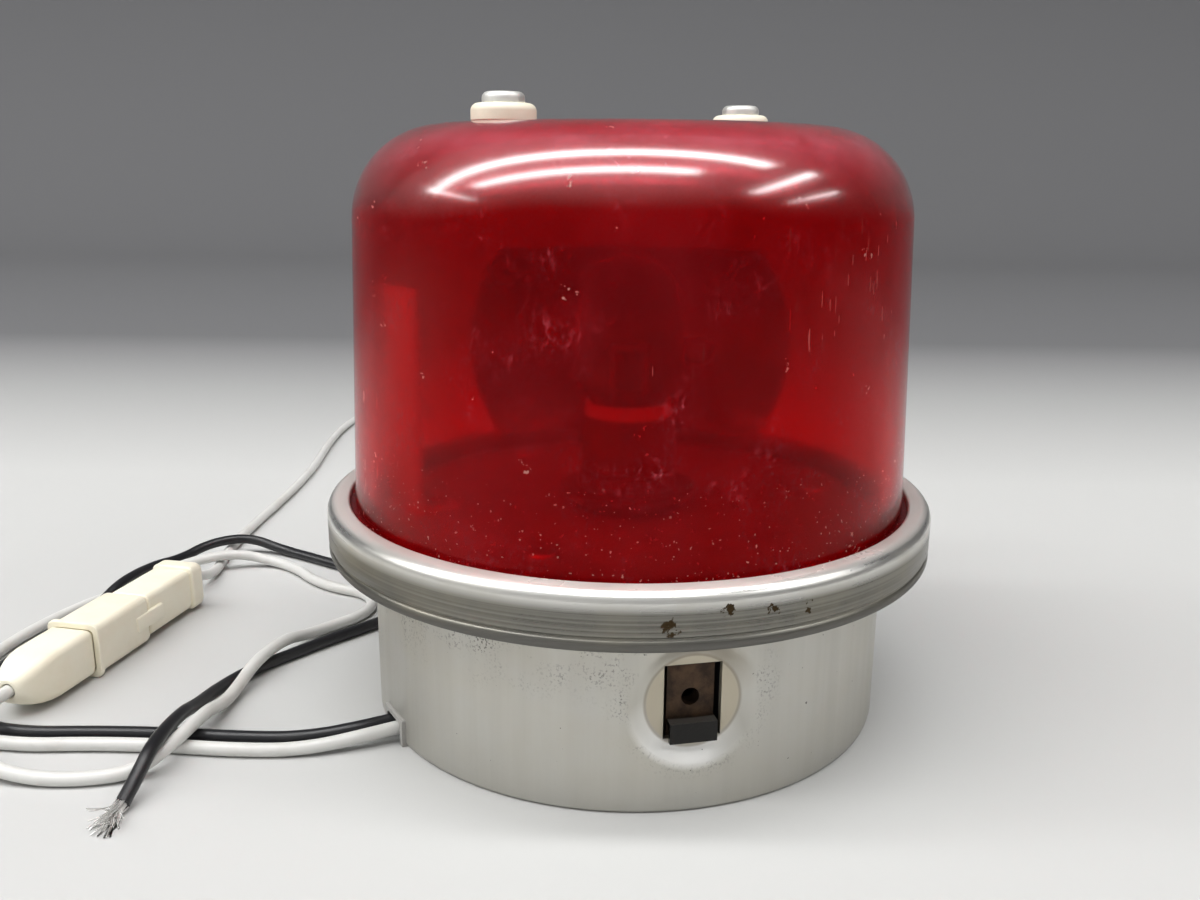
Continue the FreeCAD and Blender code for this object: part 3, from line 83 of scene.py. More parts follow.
def newFinish(name, colour, metallic, roughness):
    finish = bpy.data.materials.new(name)
    finish.use_nodes = True
    shader = finish.node_tree.nodes["Principled BSDF"]
    shader.inputs["Base Color"].default_value = (*colour, 1.0)
    shader.inputs["Metallic"].default_value = metallic
    shader.inputs["Roughness"].default_value = roughness
    return finish, finish.node_tree, shader


def objectCoords(tree):
    return tree.nodes.new("ShaderNodeTexCoord").outputs["Object"]


# Gives inputs of a node a plain value, or what another node puts out
def feed(tree, node, inputs):
    for key, value in inputs.items():
        if isinstance(value, bpy.types.NodeSocket):
            tree.links.new(value, node.inputs[key])
        else:
            node.inputs[key].default_value = value


# Adds a node and returns its outputs
def addNode(tree, kind, inputs, **options):
    node = tree.nodes.new(kind)
    for option, value in options.items():
        setattr(node, option, value)
    feed(tree, node, inputs)
    return node.outputs


# The stretch is one number, or three where it differs by axis
def noiseMask(tree, stretch, low, high, detail=5.0, shift=(0.0, 0.0, 0.0)):
    scale = stretch if isinstance(stretch, tuple) else (stretch, stretch, stretch)
    mapping = addNode(tree, "ShaderNodeMapping", {
        "Vector": objectCoords(tree), "Location": shift, "Scale": scale,
    })
    noise = addNode(tree, "ShaderNodeTexNoise", {
        "Vector": mapping["Vector"], "Scale": 1.0, "Detail": detail, "Roughness": 0.6,
    })
    return spread(tree, noise["Fac"], low, high)


def spread(tree, value, low, high, toLow=0.0, toHigh=1.0, how="LINEAR"):
    ranged = addNode(tree, "ShaderNodeMapRange", {
        "Value": value, "From Min": low, "From Max": high, "To Min": toLow, "To Max": toHigh,
    }, interpolation_type=how)
    return ranged["Result"]


def maths(tree, how, *values):
    return addNode(tree, "ShaderNodeMath", dict(enumerate(values)), operation=how)[0]


def times(tree, first, second):
    return maths(tree, "MULTIPLY", first, second)


def plus(tree, first, second):
    return maths(tree, "ADD", first, second)


def most(tree, first, second):
    return maths(tree, "MAXIMUM", first, second)


def vectorMaths(tree, how, inputs):
    return addNode(tree, "ShaderNodeVectorMath", inputs, operation=how)


def blendColour(tree, mask, first, second, share=1.0):
    mask = mask if share == 1.0 else times(tree, mask, share)
    first, second = ((*tone, 1.0) if isinstance(tone, tuple) else tone for tone in (first, second))
    return addNode(tree, "ShaderNodeMix", {0: mask, 6: first, 7: second}, data_type="RGBA")[2]


def raiseBump(tree, shader, value, strength, distance):
    bump = addNode(tree, "ShaderNodeBump", {"Strength": strength, "Distance": distance, "Height": value})
    feed(tree, shader, {"Normal": bump["Normal"]})


def coordPart(tree, axis):
    return addNode(tree, "ShaderNodeSeparateXYZ", {"Vector": objectCoords(tree)})[axis]


# 0 below one height in millimetres, 1 above another
def heightMask(tree, low, high, toLow=0.0, toHigh=1.0):
    return spread(tree, coordPart(tree, "Z"), low * mm, high * mm, toLow, toHigh)


# 1 at a place in millimetres, 0 beyond a reach round it
def nearPlace(tree, place, inner, outer):
    gap = vectorMaths(tree, "DISTANCE", {0: objectCoords(tree), 1: Vector(place) * mm})["Value"]
    return spread(tree, gap, inner * mm, outer * mm, 1.0, 0.0)


# A plain metal with fine grain and a little uneven wear
def grainedMetal(name, colour, roughness, stretch, wear=0.12):
    finish, tree, shader = newFinish(name, colour, 1.0, roughness)
    lines = noiseMask(tree, stretch, 0.3, 0.7, 3.0)
    cloud = noiseMask(tree, 60, 0.35, 0.7, 4.0)
    dark = tuple(part * 0.78 for part in colour)
    tone = blendColour(tree, lines, colour, dark, 0.6)
    tone = blendColour(tree, cloud, tone, dark, 0.35)
    brushed = spread(tree, lines, 0, 1, roughness - wear / 2, roughness + wear / 2)
    feed(tree, shader, {"Base Color": tone, "Roughness": plus(tree, brushed, times(tree, cloud, wear))})
    raiseBump(tree, shader, lines, 0.12, 0.0002)
    return finish


def mouldedPlastic(name, colour, roughness, soil=(0.35, 0.30, 0.22), soiling=0.4):
    finish, tree, shader = newFinish(name, colour, 0.0, roughness)
    cloud = noiseMask(tree, 90, 0.45, 0.8, 6.0)
    tone = blendColour(tree, cloud, colour, soil, soiling)
    rough = spread(tree, cloud, 0, 1, roughness, roughness + 0.2)
    feed(tree, shader, {"Base Color": tone, "Roughness": rough})
    raiseBump(tree, shader, noiseMask(tree, 900, 0.3, 0.7, 2.0), 0.08, 0.0002)
    return finish


# Mesh helpers: shapes are drawn in millimetres and scaled when their mesh is finished

def finishMesh(name, build, finish, crease=35.0, closed=True):
    bmesh.ops.remove_doubles(build, verts=build.verts, dist=1e-4)
    if closed:
        bmesh.ops.recalc_face_normals(build, faces=build.faces)
    bmesh.ops.scale(build, vec=(mm, mm, mm), verts=build.verts)
    for face in build.faces:
        face.smooth = True
    mesh = bpy.data.meshes.new(name)
    build.to_mesh(mesh)
    build.free()
    mesh.set_sharp_from_angle(angle=math.radians(crease))
    mesh.materials.append(finish)
    return addObject(name, mesh)


def dress(piece, slotName, *replaced):
    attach(piece, "beacon_base")
    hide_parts(*replaced)
    return piece


def bakeModifiers(piece):
    graph = bpy.context.evaluated_depsgraph_get()
    piece.data = bpy.data.meshes.new_from_object(piece.evaluated_get(graph), depsgraph=graph)
    piece.modifiers.clear()


def softEdges(piece, width, angle):
    bevel = piece.modifiers.new("softEdges", "BEVEL")
    bevel.width = width * mm
    bevel.segments = 2
    bevel.limit_method = "ANGLE"
    bevel.angle_limit = math.radians(angle)
    bevel.harden_normals = True


def arcPoints(x, y, radius, start, end, steps):
    angles = [math.radians(start + (end - start) * step / steps) for step in range(steps + 1)]
    return [(x + radius * math.cos(angle), y + radius * math.sin(angle)) for angle in angles]


# Turns a closed outline of (radius, height) round the Z axis
def lathe(build, outline, steps, start=0.0, sweep=360.0):
    whole = sweep == 360.0
    rows = []
    for step in range(steps if whole else steps + 1):
        angle = math.radians(start + sweep * step / steps)
        rows.append([build.verts.new((r * math.cos(angle), r * math.sin(angle), z)) for r, z in outline])
    for near, far in zip(rows, rows[1:] + rows[:1] if whole else rows[1:]):
        for index in range(len(outline)):
            after = (index + 1) % len(outline)
            build.faces.new((near[index], far[index], far[after], near[after]))
    if not whole:
        build.faces.new(rows[0])
        build.faces.new(list(reversed(rows[-1])))


# Joins rings of equal count one after the other, and closes both ends
def loft(build, rings):
    rows = [[build.verts.new(point) for point in ring] for ring in rings]
    for near, far in zip(rows, rows[1:]):
        for index in range(len(near)):
            after = (index + 1) % len(near)
            build.faces.new((near[index], near[after], far[after], far[index]))
    build.faces.new(list(reversed(rows[0])))
    build.faces.new(rows[-1])


# Flat sheet with holes, standing on its own XY plane
def flatSheet(build, outline, holes, thickness, place):
    data = bpy.data.curves.new("sheetOutline", "CURVE")
    data.dimensions = "2D"
    data.fill_mode = "BOTH"
    data.extrude = thickness / 2
    for loop in [outline] + holes:
        spline = data.splines.new("POLY")
        spline.points.add(len(loop) - 1)
        for point, (x, y) in zip(spline.points, loop):
            point.co = (x, y, 0.0, 1.0)
        spline.use_cyclic_u = True
    sheet = bpy.data.objects.new("sheetOutline", data)
    mesh = bpy.data.meshes.new_from_object(sheet)
    mesh.transform(place)
    build.from_mesh(mesh)
    bpy.data.objects.remove(sheet)


# A node tree with named inputs, and the identifiers by which a modifier sets them
def newTree(name, kinds):
    tree = bpy.data.node_groups.new(name, "GeometryNodeTree")
    keys = {}
    for label, kind in kinds.items():
        socket = tree.interface.new_socket(label, in_out="INPUT", socket_type="NodeSocket" + kind)
        keys[label] = socket.identifier
    tree.interface.new_socket("Mesh", in_out="OUTPUT", socket_type="NodeSocketGeometry")
    return tree, keys, tree.nodes.new("NodeGroupInput").outputs


def paintedOutput(tree, mesh, finish):
    paint = addNode(tree, "GeometryNodeSetMaterial", {"Geometry": mesh, "Material": finish})
    addNode(tree, "NodeGroupOutput", {0: paint[0]})


# What a tree makes, as a plain mesh
def grownPiece(name, tree, keys, values):
    piece = addObject(name, bpy.data.meshes.new(name))
    grower = piece.modifiers.new(tree.name, "NODES")
    grower.node_group = tree
    for label, value in values.items():
        grower[keys[label]] = value
    bakeModifiers(piece)
    return piece


# Copies of one mesh round the Z axis
def polarTree():
    tree, keys, enter = newTree("polarCopies", {
        "Source": "Object", "Count": "Int", "Circle": "Float", "Turn": "Float", "Finish": "Material",
    })
    step = maths(tree, "DIVIDE", math.tau, enter["Count"])
    index = tree.nodes.new("GeometryNodeInputIndex").outputs[0]
    angle = plus(tree, times(tree, index, step), enter["Turn"])
    x, y = (times(tree, maths(tree, wave, angle), enter["Circle"]) for wave in ("COSINE", "SINE"))
    spot = addNode(tree, "ShaderNodeCombineXYZ", {"X": x, "Y": y})
    turned = addNode(tree, "ShaderNodeCombineXYZ", {"Z": angle})
    points = addNode(tree, "GeometryNodePoints", {"Count": enter["Count"], "Position": spot[0]})
    info = addNode(tree, "GeometryNodeObjectInfo", {"Object": enter["Source"], "As Instance": True})
    copies = addNode(tree, "GeometryNodeInstanceOnPoints", {
        "Points": points[0], "Instance": info["Geometry"], "Rotation": turned[0],
    })
    real = addNode(tree, "GeometryNodeRealizeInstances", {0: copies[0]})
    paintedOutput(tree, real[0], enter["Finish"])
    return tree, keys


polarCopies, polarKeys = polarTree()


def copiesRound(name, source, count, circle, turn, finish):
    piece = grownPiece(name, polarCopies, polarKeys, {
        "Source": source, "Count": count, "Circle": circle * mm, "Turn": math.radians(turn), "Finish": finish,
    })
    bpy.data.objects.remove(source)
    return piece


# Leads: the same routes as the solids, lowered where one crosses another

leadSet = {
    "diameter": 2.2,
    "white": (0.66, 0.655, 0.63),
    "black": (0.012, 0.012, 0.014),
    "rest": 1.15,  # height of a lead that lies on the floor
}


# Points without a height lie on the floor
def onFloor(points):
    return [(*point, leadSet["rest"])[:3] for point in points]


whiteRoute = onFloor([
    (-29.4, -20.0, 2.4), (-39.3, -26.2, 2.4), (-50.5, -29.9), (-61.7, -30.2), (-72.9, -29.3),
    (-84.4, -29.3), (-95.7, -30.2), (-106.0, -28.0), (-113.2, -21.4), (-116.5, -12.0), (-117.8, -1.8),
    (-117.3, 8.3), (-115.1, 18.2), (-111.2, 28.0), (-105.5, 37.3), (-99.0, 44.4, 3.6), (-89.5, 51.6, 3.6),
    (-81.0, 52.6), (-74.3, 47.9), (-69.2, 41.7), (-63.0, 37.2), (-56.0, 34.8), (-52.4, 28.6), (-54.2, 21.8),
    (-58.9, 17.0), (-62.0, 11.9, 1.6), (-64.0, 5.4, 3.7), (-66.3, -4.2, 3.7), (-67.5, -10.8, 1.6),
    (-67.8, -17.0, 1.8), (-68.1, -22.6, 3.7), (-69.3, -32.8, 3.7), (-73.4, -37.5, 1.3), (-80.4, -39.5),
    (-88.5, -39.7, 1.2), (-96.7, -38.2, 2.6), (-103.0, -33.2, 5.6), (-102.73, -23.94, 5.25),
    (-100.84, -13.61, 5.25),
])
blackRoute = onFloor([
    (-30.8, -17.7, 2.4), (-40.7, -23.9, 2.4), (-51.6, -26.4), (-62.8, -26.4), (-74.1, -25.7),
    (-85.4, -25.8), (-96.5, -26.5), (-105.0, -24.3), (-110.4, -17.9), (-112.7, -9.2), (-113.3, 0.1),
    (-112.6, 9.3), (-110.7, 18.3), (-109.0, 25.7, 1.5), (-107.5, 32.1, 3.7), (-105.0, 41.8, 3.7),
    (-102.0, 50.0, 2.4), (-98.2, 57.0, 3.7), (-90.6, 62.2, 3.7), (-82.3, 60.6, 1.3), (-74.1, 56.0),
    (-65.5, 50.7), (-56.9, 46.4), (-48.9, 40.8), (-44.1, 33.3), (-45.2, 25.0), (-50.6, 18.1), (-57.0, 11.1),
    (-62.8, 3.9), (-68.1, -3.0), (-71.0, -10.9, 1.4), (-71.4, -18.9, 2.6), (-71.2, -25.2, 4.6),
    (-70.8, -36.5, 5.6), (-71.2, -41.5, 3.0), (-71.6, -45.7, 1.3),
])
feedRoute = onFloor([
    (-94.27, 22.19, 5.25), (-92.35, 32.61, 5.25), (-92.0, 43.7, 1.2), (-94.4, 57.5), (-95.2, 75.6),
    (-94.4, 100.4), (-94.9, 130.6), (-98.6, 160.0), (-100.2, 188.0), (-96.6, 212.0), (-82.3, 228.0),
    (-62.9, 231.5), (-46.2, 223.4),
])


def leadFinish(name, colour, dust):
    finish, tree, shader = newFinish(name, colour, 0.0, 0.38)
    grimeAndShade = noiseMask(tree, 70, 0.5, 0.78, 5.0)
    tone = blendColour(tree, grimeAndShade, colour, dust, 0.5)
    feed(tree, shader, {"Base Color": tone, "Roughness": spread(tree, grimeAndShade, 0, 1, 0.32, 0.6)})
    raiseBump(tree, shader, noiseMask(tree, 500, 0.3, 0.7, 2.0), 0.06, 0.0002)
    return finish


def makeLead(name, route, finish, slotName, node):
    data = bpy.data.curves.new(name, "CURVE")
    data.dimensions = "3D"
    data.resolution_u = 10
    data.bevel_depth = leadSet["diameter"] / 2 * mm
    data.bevel_resolution = 5
    data.use_fill_caps = True
    spline = data.splines.new("NURBS")
    spline.points.add(len(route) - 1)
    for point, place in zip(spline.points, route):
        point.co = (*(Vector(place) * mm), 1.0)
    spline.order_u = 3
    spline.use_endpoint_u = True
    data.materials.append(finish)
    return dress(addObject(name, data), slotName, node)


whiteFinish = leadFinish("whiteInsulation", leadSet["white"], (0.45, 0.41, 0.36))
blackFinish = leadFinish("blackInsulation", leadSet["black"], (0.05, 0.048, 0.045))
whiteLead = makeLead("whiteLead", whiteRoute, whiteFinish, "white_insulation", "white_lead")
blackLead = makeLead("blackLead", blackRoute, blackFinish, "black_insulation", "black_lead")
feedLead = makeLead("feedLead", feedRoute, whiteFinish, "white_insulation", "feed_lead")
print("leads laid")


# Frayed strands at the bare ends of the black lead and the feed lead

tuftSet = {
    "count": 44,
    "length": 5.6,
    "bundle": 0.75,  # radius where the strands leave the insulation
    "fray": 2.4,
    "feedLength": 3.0,
    "feedFray": 0.5,
    "strand": 0.11,
    "sections": 8,
    "sides": 5,
    "tucked": 0.4,  # start inside the insulation
    "rise": 0.3,  # share of the lead's own slope that the strands keep
    "lowest": 0.12,
    "seed": 7,
}


def tuftTree():
    tree, keys, enter = newTree("frayedStrands", {
        "Count": "Int", "Length": "Float", "Bundle": "Float", "Fray": "Float", "Strand": "Float",
        "Seed": "Int", "Finish": "Material",
    })

    def randomVector(extent, seedShift):
        return addNode(tree, "FunctionNodeRandomValue", {
            "Min": (-1.0, -1.0, -extent), "Max": (1.0, 1.0, extent),
            "Seed": plus(tree, enter["Seed"], seedShift),
        }, data_type="FLOAT_VECTOR")["Value"]

    def scaled(vector, factor):
        return vectorMaths(tree, "SCALE", {0: vector, "Scale": factor})[0]

    starts = scaled(randomVector(0.3, 0), enter["Bundle"])
    points = addNode(tree, "GeometryNodePoints", {"Count": enter["Count"], "Position": starts})
    reach = addNode(tree, "ShaderNodeCombineXYZ", {"Z": enter["Length"]})
    line = addNode(tree, "GeometryNodeCurvePrimitiveLine", {"End": reach[0]})
    finer = addNode(tree, "GeometryNodeResampleCurve", {"Curve": line[0], "Count": tuftSet["sections"]})
    copies = addNode(tree, "GeometryNodeInstanceOnPoints", {"Points": points[0], "Instance": finer[0]})
    lean = addNode(tree, "GeometryNodeStoreNamedAttribute", {  # each strand leans its own way
        "Geometry": copies[0], "Name": "lean", "Value": randomVector(0.6, 3),
    }, data_type="FLOAT_VECTOR", domain="INSTANCE")
    real = addNode(tree, "GeometryNodeRealizeInstances", {0: lean[0]})
    leaning = addNode(tree, "GeometryNodeInputNamedAttribute", {"Name": "lean"}, data_type="FLOAT_VECTOR")
    along = tree.nodes.new("GeometryNodeSplineParameter").outputs["Factor"]
    amount = times(tree, maths(tree, "POWER", along, 2.0), enter["Fray"])
    offset = scaled(leaning[0], amount)
    bend = addNode(tree, "GeometryNodeSetPosition", {"Geometry": real[0], "Offset": offset})
    section = addNode(tree, "GeometryNodeCurvePrimitiveCircle", {
        "Resolution": tuftSet["sides"], "Radius": enter["Strand"],
    })
    tube = addNode(tree, "GeometryNodeCurveToMesh", {
        "Curve": bend[0], "Profile Curve": section[0], "Fill Caps": True,
    })
    paintedOutput(tree, tube[0], enter["Finish"])
    return tree, keys


strandFinish = grainedMetal("tinnedStrands", (0.93, 0.92, 0.90), 0.42, 300)
frayedTree, frayedKeys = tuftTree()


def makeTuft(name, route, length, fray, seed):
    s = tuftSet
    tuft = grownPiece(name, frayedTree, frayedKeys, {
        "Count": s["count"], "Length": length * mm, "Bundle": s["bundle"] * mm, "Fray": fray * mm,
        "Strand": s["strand"] * mm, "Seed": seed, "Finish": strandFinish,
    })
    before, end = Vector(route[-2]), Vector(route[-1])
    heading = (end - before).normalized()
    level = Vector((heading.x, heading.y, heading.z * s["rise"])).normalized()
    start = Matrix.Translation((end - heading * s["tucked"]) * mm)
    tuft.data.transform(start @ level.to_track_quat("Z", "X").to_matrix().to_4x4())
    for vertex in tuft.data.vertices:
        vertex.co.z = max(vertex.co.z, s["lowest"] * mm)  # strands lie on the floor
    return tuft


blackStrands = makeTuft("blackStrands", blackRoute, tuftSet["length"], tuftSet["fray"], tuftSet["seed"])
dress(blackStrands, "bare_strands", "black_lead_strands")
feedStrands = makeTuft("feedStrands", feedRoute, tuftSet["feedLength"], tuftSet["feedFray"],
                       tuftSet["seed"] + 20)
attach(feedStrands, "beacon_base")
print("strands frayed")


# Red dome: clear cherry plastic with a hazy top, dust and fine scratches

domeSet = {
    "colour": (0.71, 0.002, 0.006),
    "gloss": (1.0, 0.35, 0.38),  # tint of the wall's reflections
    "dust": (0.62, 0.32, 0.27),
    "haze": (0.78, 0.24, 0.32),
    "veil": 0.02,  # haze that lies all over
    "smooth": 0.16,
    "scuffed": 0.26,  # roughness under the polished shoulder
    "index": 1.22,
    "coatIndex": 2.0,
    "coatSmooth": 0.16,
    "clear": 0.93,  # light that passes where nothing clouds the wall
    "polish": (84.5, 88.5),  # heights where the polish starts and is full
    "polishSides": (13.0, 28.0, 2.0),  # from here to here sideways it starts this much lower
    "hazy": (86.0, 93.5, 96.1),  # heights where the haze starts, is full and is thin again
    "dusty": (36.0, 54.0),
    "base": 46.2,
    "shoulder": 44.6,
    "corner": 14.5,
    "wall": 3.0,
    "flange": 49.4,
    "bottom": 33.2,
    "ledge": 36.0,
    "top": 96.2,
    "around": 192,
}


def domeFinish():
    s = domeSet
    finish, tree, shader = newFinish("cherryDome", s["colour"], 0.0, s["smooth"])
    shader.inputs["IOR"].default_value = s["index"]
    shader.inputs["Specular Tint"].default_value = (*s["gloss"], 1.0)
    shader.inputs["Coat Roughness"].default_value = s["coatSmooth"]
    shader.inputs["Coat IOR"].default_value = s["coatIndex"]
    near, far, drop = (part * mm for part in s["polishSides"])
    lowered = spread(tree, maths(tree, "ABSOLUTE", coordPart(tree, "X")), near, far, 0.0, drop)
    start, full = (part * mm for part in s["polish"])
    polish = spread(tree, plus(tree, coordPart(tree, "Z"), lowered), start, full, 0.0, 1.0, "SMOOTHSTEP")
    low = heightMask(tree, *s["dusty"], 1.0, 0.06)
    specks = times(tree, noiseMask(tree, 1700, 0.72, 0.74, 1.0), low)
    coarse = times(tree, noiseMask(tree, 1500, 0.58, 0.62, 3.0, (4.0, 1.0, 2.0)),
                   noiseMask(tree, 170, 0.68, 0.71, 2.0, (1.0, 7.0, 3.0)))
    hairs = times(tree, noiseMask(tree, (2600, 2600, 130), 0.70, 0.72, 1.0),
                  noiseMask(tree, 40, 0.55, 0.65, 3.0, (9.0, 2.0, 5.0)))
    dust = most(tree, most(tree, specks, coarse), times(tree, hairs, 0.5))
    start, full, thin = s["hazy"]
    crown = times(tree, heightMask(tree, start, full), heightMask(tree, full, thin, 1.0, 0.4))
    film = times(tree, crown, noiseMask(tree, 70, 0.1, 0.8, 4.0))
    smear = times(tree, noiseMask(tree, (50, 50, 24), 0.45, 0.8, 6.0, (3.1, 0.7, 1.9)), 0.10)
    smudge = times(tree, noiseMask(tree, (1500, 1500, 1100), 0.50, 0.68, 8.0, (2.0, 5.0, 8.0)),
                   noiseMask(tree, 110, 0.50, 0.68, 3.0, (6.0, 3.0, 1.0)))
    smear = plus(tree, smear, times(tree, smudge, 0.36))
    film = plus(tree, plus(tree, times(tree, film, 0.68), smear), s["veil"])
    tone = blendColour(tree, film, s["colour"], s["haze"])
    tone = blendColour(tree, dust, tone, s["dust"])
    cloudy = most(tree, times(tree, film, 0.9), times(tree, dust, 0.7))
    passed = spread(tree, cloudy, 0, 1, s["clear"], 0.1)
    wearAndHighlight = most(tree, spread(tree, dust, 0, 1, s["smooth"], 0.5),
                spread(tree, polish, 0, 1, s["smooth"], s["scuffed"]))
    feed(tree, shader, {
        "Base Color": tone, "Roughness": wearAndHighlight, "Transmission Weight": passed, "Coat Weight": polish,
    })
    raiseBump(tree, shader, hairs, 0.05, 0.0001)
    return finish


def makeDome():
    s = domeSet
    corner = s["shoulder"] - s["corner"]
    sill = s["top"] - s["corner"]
    inner = s["corner"] - s["wall"]
    outline = [(s["base"] - s["wall"], s["bottom"]), (s["flange"], s["bottom"]), (s["flange"], s["ledge"]),
               (s["base"], s["ledge"])]
    lean = math.degrees(math.atan2(s["base"] - s["shoulder"], sill - s["ledge"]))
    shoulderLine = arcPoints(corner, sill, s["corner"], lean, 90, 28)
    foot, brow = Vector((s["base"], s["ledge"])), Vector(shoulderLine[0])
    outline += [tuple(foot.lerp(brow, step / 6)) for step in range(1, 6)] + shoulderLine
    ceiling = s["top"] - s["wall"]
    outline += [(corner * 0.5, s["top"]), (0, s["top"]), (0, ceiling), (corner * 0.5, ceiling)]
    outline += arcPoints(corner, sill, inner, 90, lean, 20)
    build = bmesh.new()
    lathe(build, outline, s["around"])
    return dress(finishMesh("redDome", build, domeFinish()), "red_dome", "dome")


makeDome()
print("dome turned")


# Base can: drawn sheet with softly pressed dimples, their windows and the notch for the leads

canSet = {
    "radius": 43.5,
    "wall": 1.2,
    "edge": 0.8,
    "bend": 0.8,
    "flange": 49.4,
    "flangeMiddle": 46.0,
    "flangeUnder": 29.2,
    "dimpleTurns": (-76.6, 43.4, 163.4),
    "dimpleHeight": 16.8,
    "dimpleFloor": 41.9,
    "dimpleFlat": 7.0,
    "dimpleRim": 10.0,
    "dimpleColumns": (0.0, 1.3, 2.6, 4.6, 5.3, 6.0, 6.7, 7.4, 8.1, 8.8, 9.5, 10.2),  # off its middle
    "dimpleRows": (0.0, 1.4, 2.8, 4.2, 6.2, 6.8, 7.4, 8.0, 8.6, 9.2, 9.8),
    "columnStep": 3.0,  # degrees, away from the dimples
    "floorRings": (0.0, 12.0, 24.0),
    "floorRim": 39.5,
    "wallRows": (2.6, 6.0, 27.5),
    "windowWidth": 8.5,
    "windowHeight": 11.3,
    "notchTurn": 212.0,
    "notchWidth": 7.6,
    "notchHeight": 4.6,
    "notchInner": 36.5,
    "notchColumn": 1.3,
    "softEdge": (0.2, 55.0),  # width, and the angle from which an edge is softened
    "colour": (0.60, 0.59, 0.55),
    "foot": (0.40, 0.39, 0.36),
    # painted highlight on each dimple's lower slope
    "slopeHighlight": (0.95, 0.94, 0.91),
    "soiled": (0.55, 0.50, 0.40),
    # painted shade on each dimple's upper slope, also used for the dark line round its flat
    "brow": (0.34, 0.30, 0.24),
    "grit": (0.035, 0.028, 0.022),
}


# A point at an angle, seen from another
def aside(angle, turn, radius):
    swing = math.radians(angle - turn)
    return Vector((radius * math.cos(swing), radius * math.sin(swing)))


# A place near a dimple's middle, to its right and above it
def dimplePlace(turn, across, up):
    middle = aside(turn, 0.0, canSet["dimpleFloor"]) + aside(turn + 90, 0.0, across)
    return (*middle, canSet["dimpleHeight"] + up)


def canFinish():
    s = canSet
    finish, tree, shader = newFinish("drawnAluminium", s["colour"], 0.85, 0.5)
    streaks = noiseMask(tree, (220, 220, 9), 0.3, 0.7, 4.0)
    cloud = noiseMask(tree, 70, 0.35, 0.75, 5.0)
    tone = blendColour(tree, streaks, s["colour"], (0.52, 0.51, 0.47), 0.55)
    tone = blendColour(tree, cloud, tone, (0.60, 0.56, 0.46), 0.45)
    tone = blendColour(tree, heightMask(tree, 1, 16, 0.45, 0.0), tone, s["foot"])
    clean = None
    for turn in s["dimpleTurns"]:  # slope with a painted highlight at its foot and painted shade at its brow, a dark line round the flat's edge, then a dull floor
        place = dimplePlace(turn, 0.0, 0.0)
        slope = nearPlace(tree, place, 9.3, 10.4)
        bright = times(tree, slope, nearPlace(tree, dimplePlace(turn, -2.2, -8.0), 4.5, 10.5))
        dullAndShade = times(tree, slope, nearPlace(tree, dimplePlace(turn, 2.0, 8.5), 3.0, 9.5))
        # painted highlight on the lower slope, which faces up
        tone = blendColour(tree, bright, tone, s["slopeHighlight"])
        # painted shade on the upper slope, which faces down
        tone = blendColour(tree, dullAndShade, tone, s["brow"], 0.7)
        tone = blendColour(tree, nearPlace(tree, place, 7.1, 7.4), tone, s["brow"], 0.7)
        tone = blendColour(tree, nearPlace(tree, place, 6.75, 6.95), tone, s["soiled"])
        clean = slope if clean is None else most(tree, clean, slope)
    # grit lies high on the left and round the front dimple
    leftSide = spread(tree, coordPart(tree, "X"), 4 * mm, 10 * mm, 1.0, 0.0)
    frontDimple = nearPlace(tree, dimplePlace(s["dimpleTurns"][0], 0.0, 2.0), 10.5, 14)
    zone = most(tree, times(tree, heightMask(tree, 16, 26), leftSide), times(tree, frontDimple, 0.6))
    zone = times(tree, zone, spread(tree, clean, 0, 1, 1.0, 0.0))
    grit = times(tree, noiseMask(tree, (2900, 2900, 2300), 0.56, 0.60, 2.0),
                 noiseMask(tree, (130, 130, 170), 0.44, 0.58, 4.0))
    specks = noiseMask(tree, 1100, 0.755, 0.77, 2.0)
    grit = most(tree, times(tree, grit, zone), specks)
    tone = blendColour(tree, grit, tone, s["grit"], 0.95)
    bare = spread(tree, grit, 0, 1, 0.85, 0.1)
    rough = plus(tree, spread(tree, streaks, 0, 1, 0.44, 0.54), times(tree, cloud, 0.1))
    feed(tree, shader, {"Base Color": tone, "Metallic": bare, "Roughness": rough})
    raiseBump(tree, shader, plus(tree, streaks, grit), 0.10, 0.0002)
    return finish


def canAngles():
    s = canSet
    features = [(turn, (*s["dimpleColumns"], s["windowWidth"] / 2)) for turn in s["dimpleTurns"]]
    features.append((s["notchTurn"], (s["notchColumn"], s["notchWidth"] / 2)))
    spots = [turn + side * math.degrees(math.asin(offset / s["radius"]))
             for turn, offsets in features for offset in offsets for side in (-1, 1)]
    spots = sorted({round(spot % 360, 4) for spot in spots})
    filled = []
    for spot, after in zip(spots, spots[1:] + [spots[0] + 360]):
        steps = max(1, math.ceil((after - spot) / s["columnStep"]))
        filled += [spot + (after - spot) * step / steps for step in range(steps)]
    return filled


def canRows():
    s = canSet
    rows = [(r, 0.0) for r in (*s["floorRings"], s["notchInner"], s["floorRim"])]
    rows += arcPoints(s["radius"] - s["edge"], s["edge"], s["edge"], -90, 0, 4)
    offsets = (*s["dimpleRows"], s["windowHeight"] / 2)
    heights = {round(s["dimpleHeight"] + side * offset, 3) for offset in offsets for side in (-1, 1)}
    rows += [(s["radius"], z) for z in sorted(heights | {s["notchHeight"], *s["wallRows"]})]
    rows += arcPoints(s["radius"] + s["bend"], s["flangeUnder"] - s["bend"], s["bend"], 180, 90, 4)
    rows += [(r, s["flangeUnder"]) for r in (s["flangeMiddle"], s["flange"])]
    return rows


def smoothStep(low, high, value):
    share = min(1.0, max(0.0, (value - low) / (high - low)))
    return share * share * (3 - 2 * share)


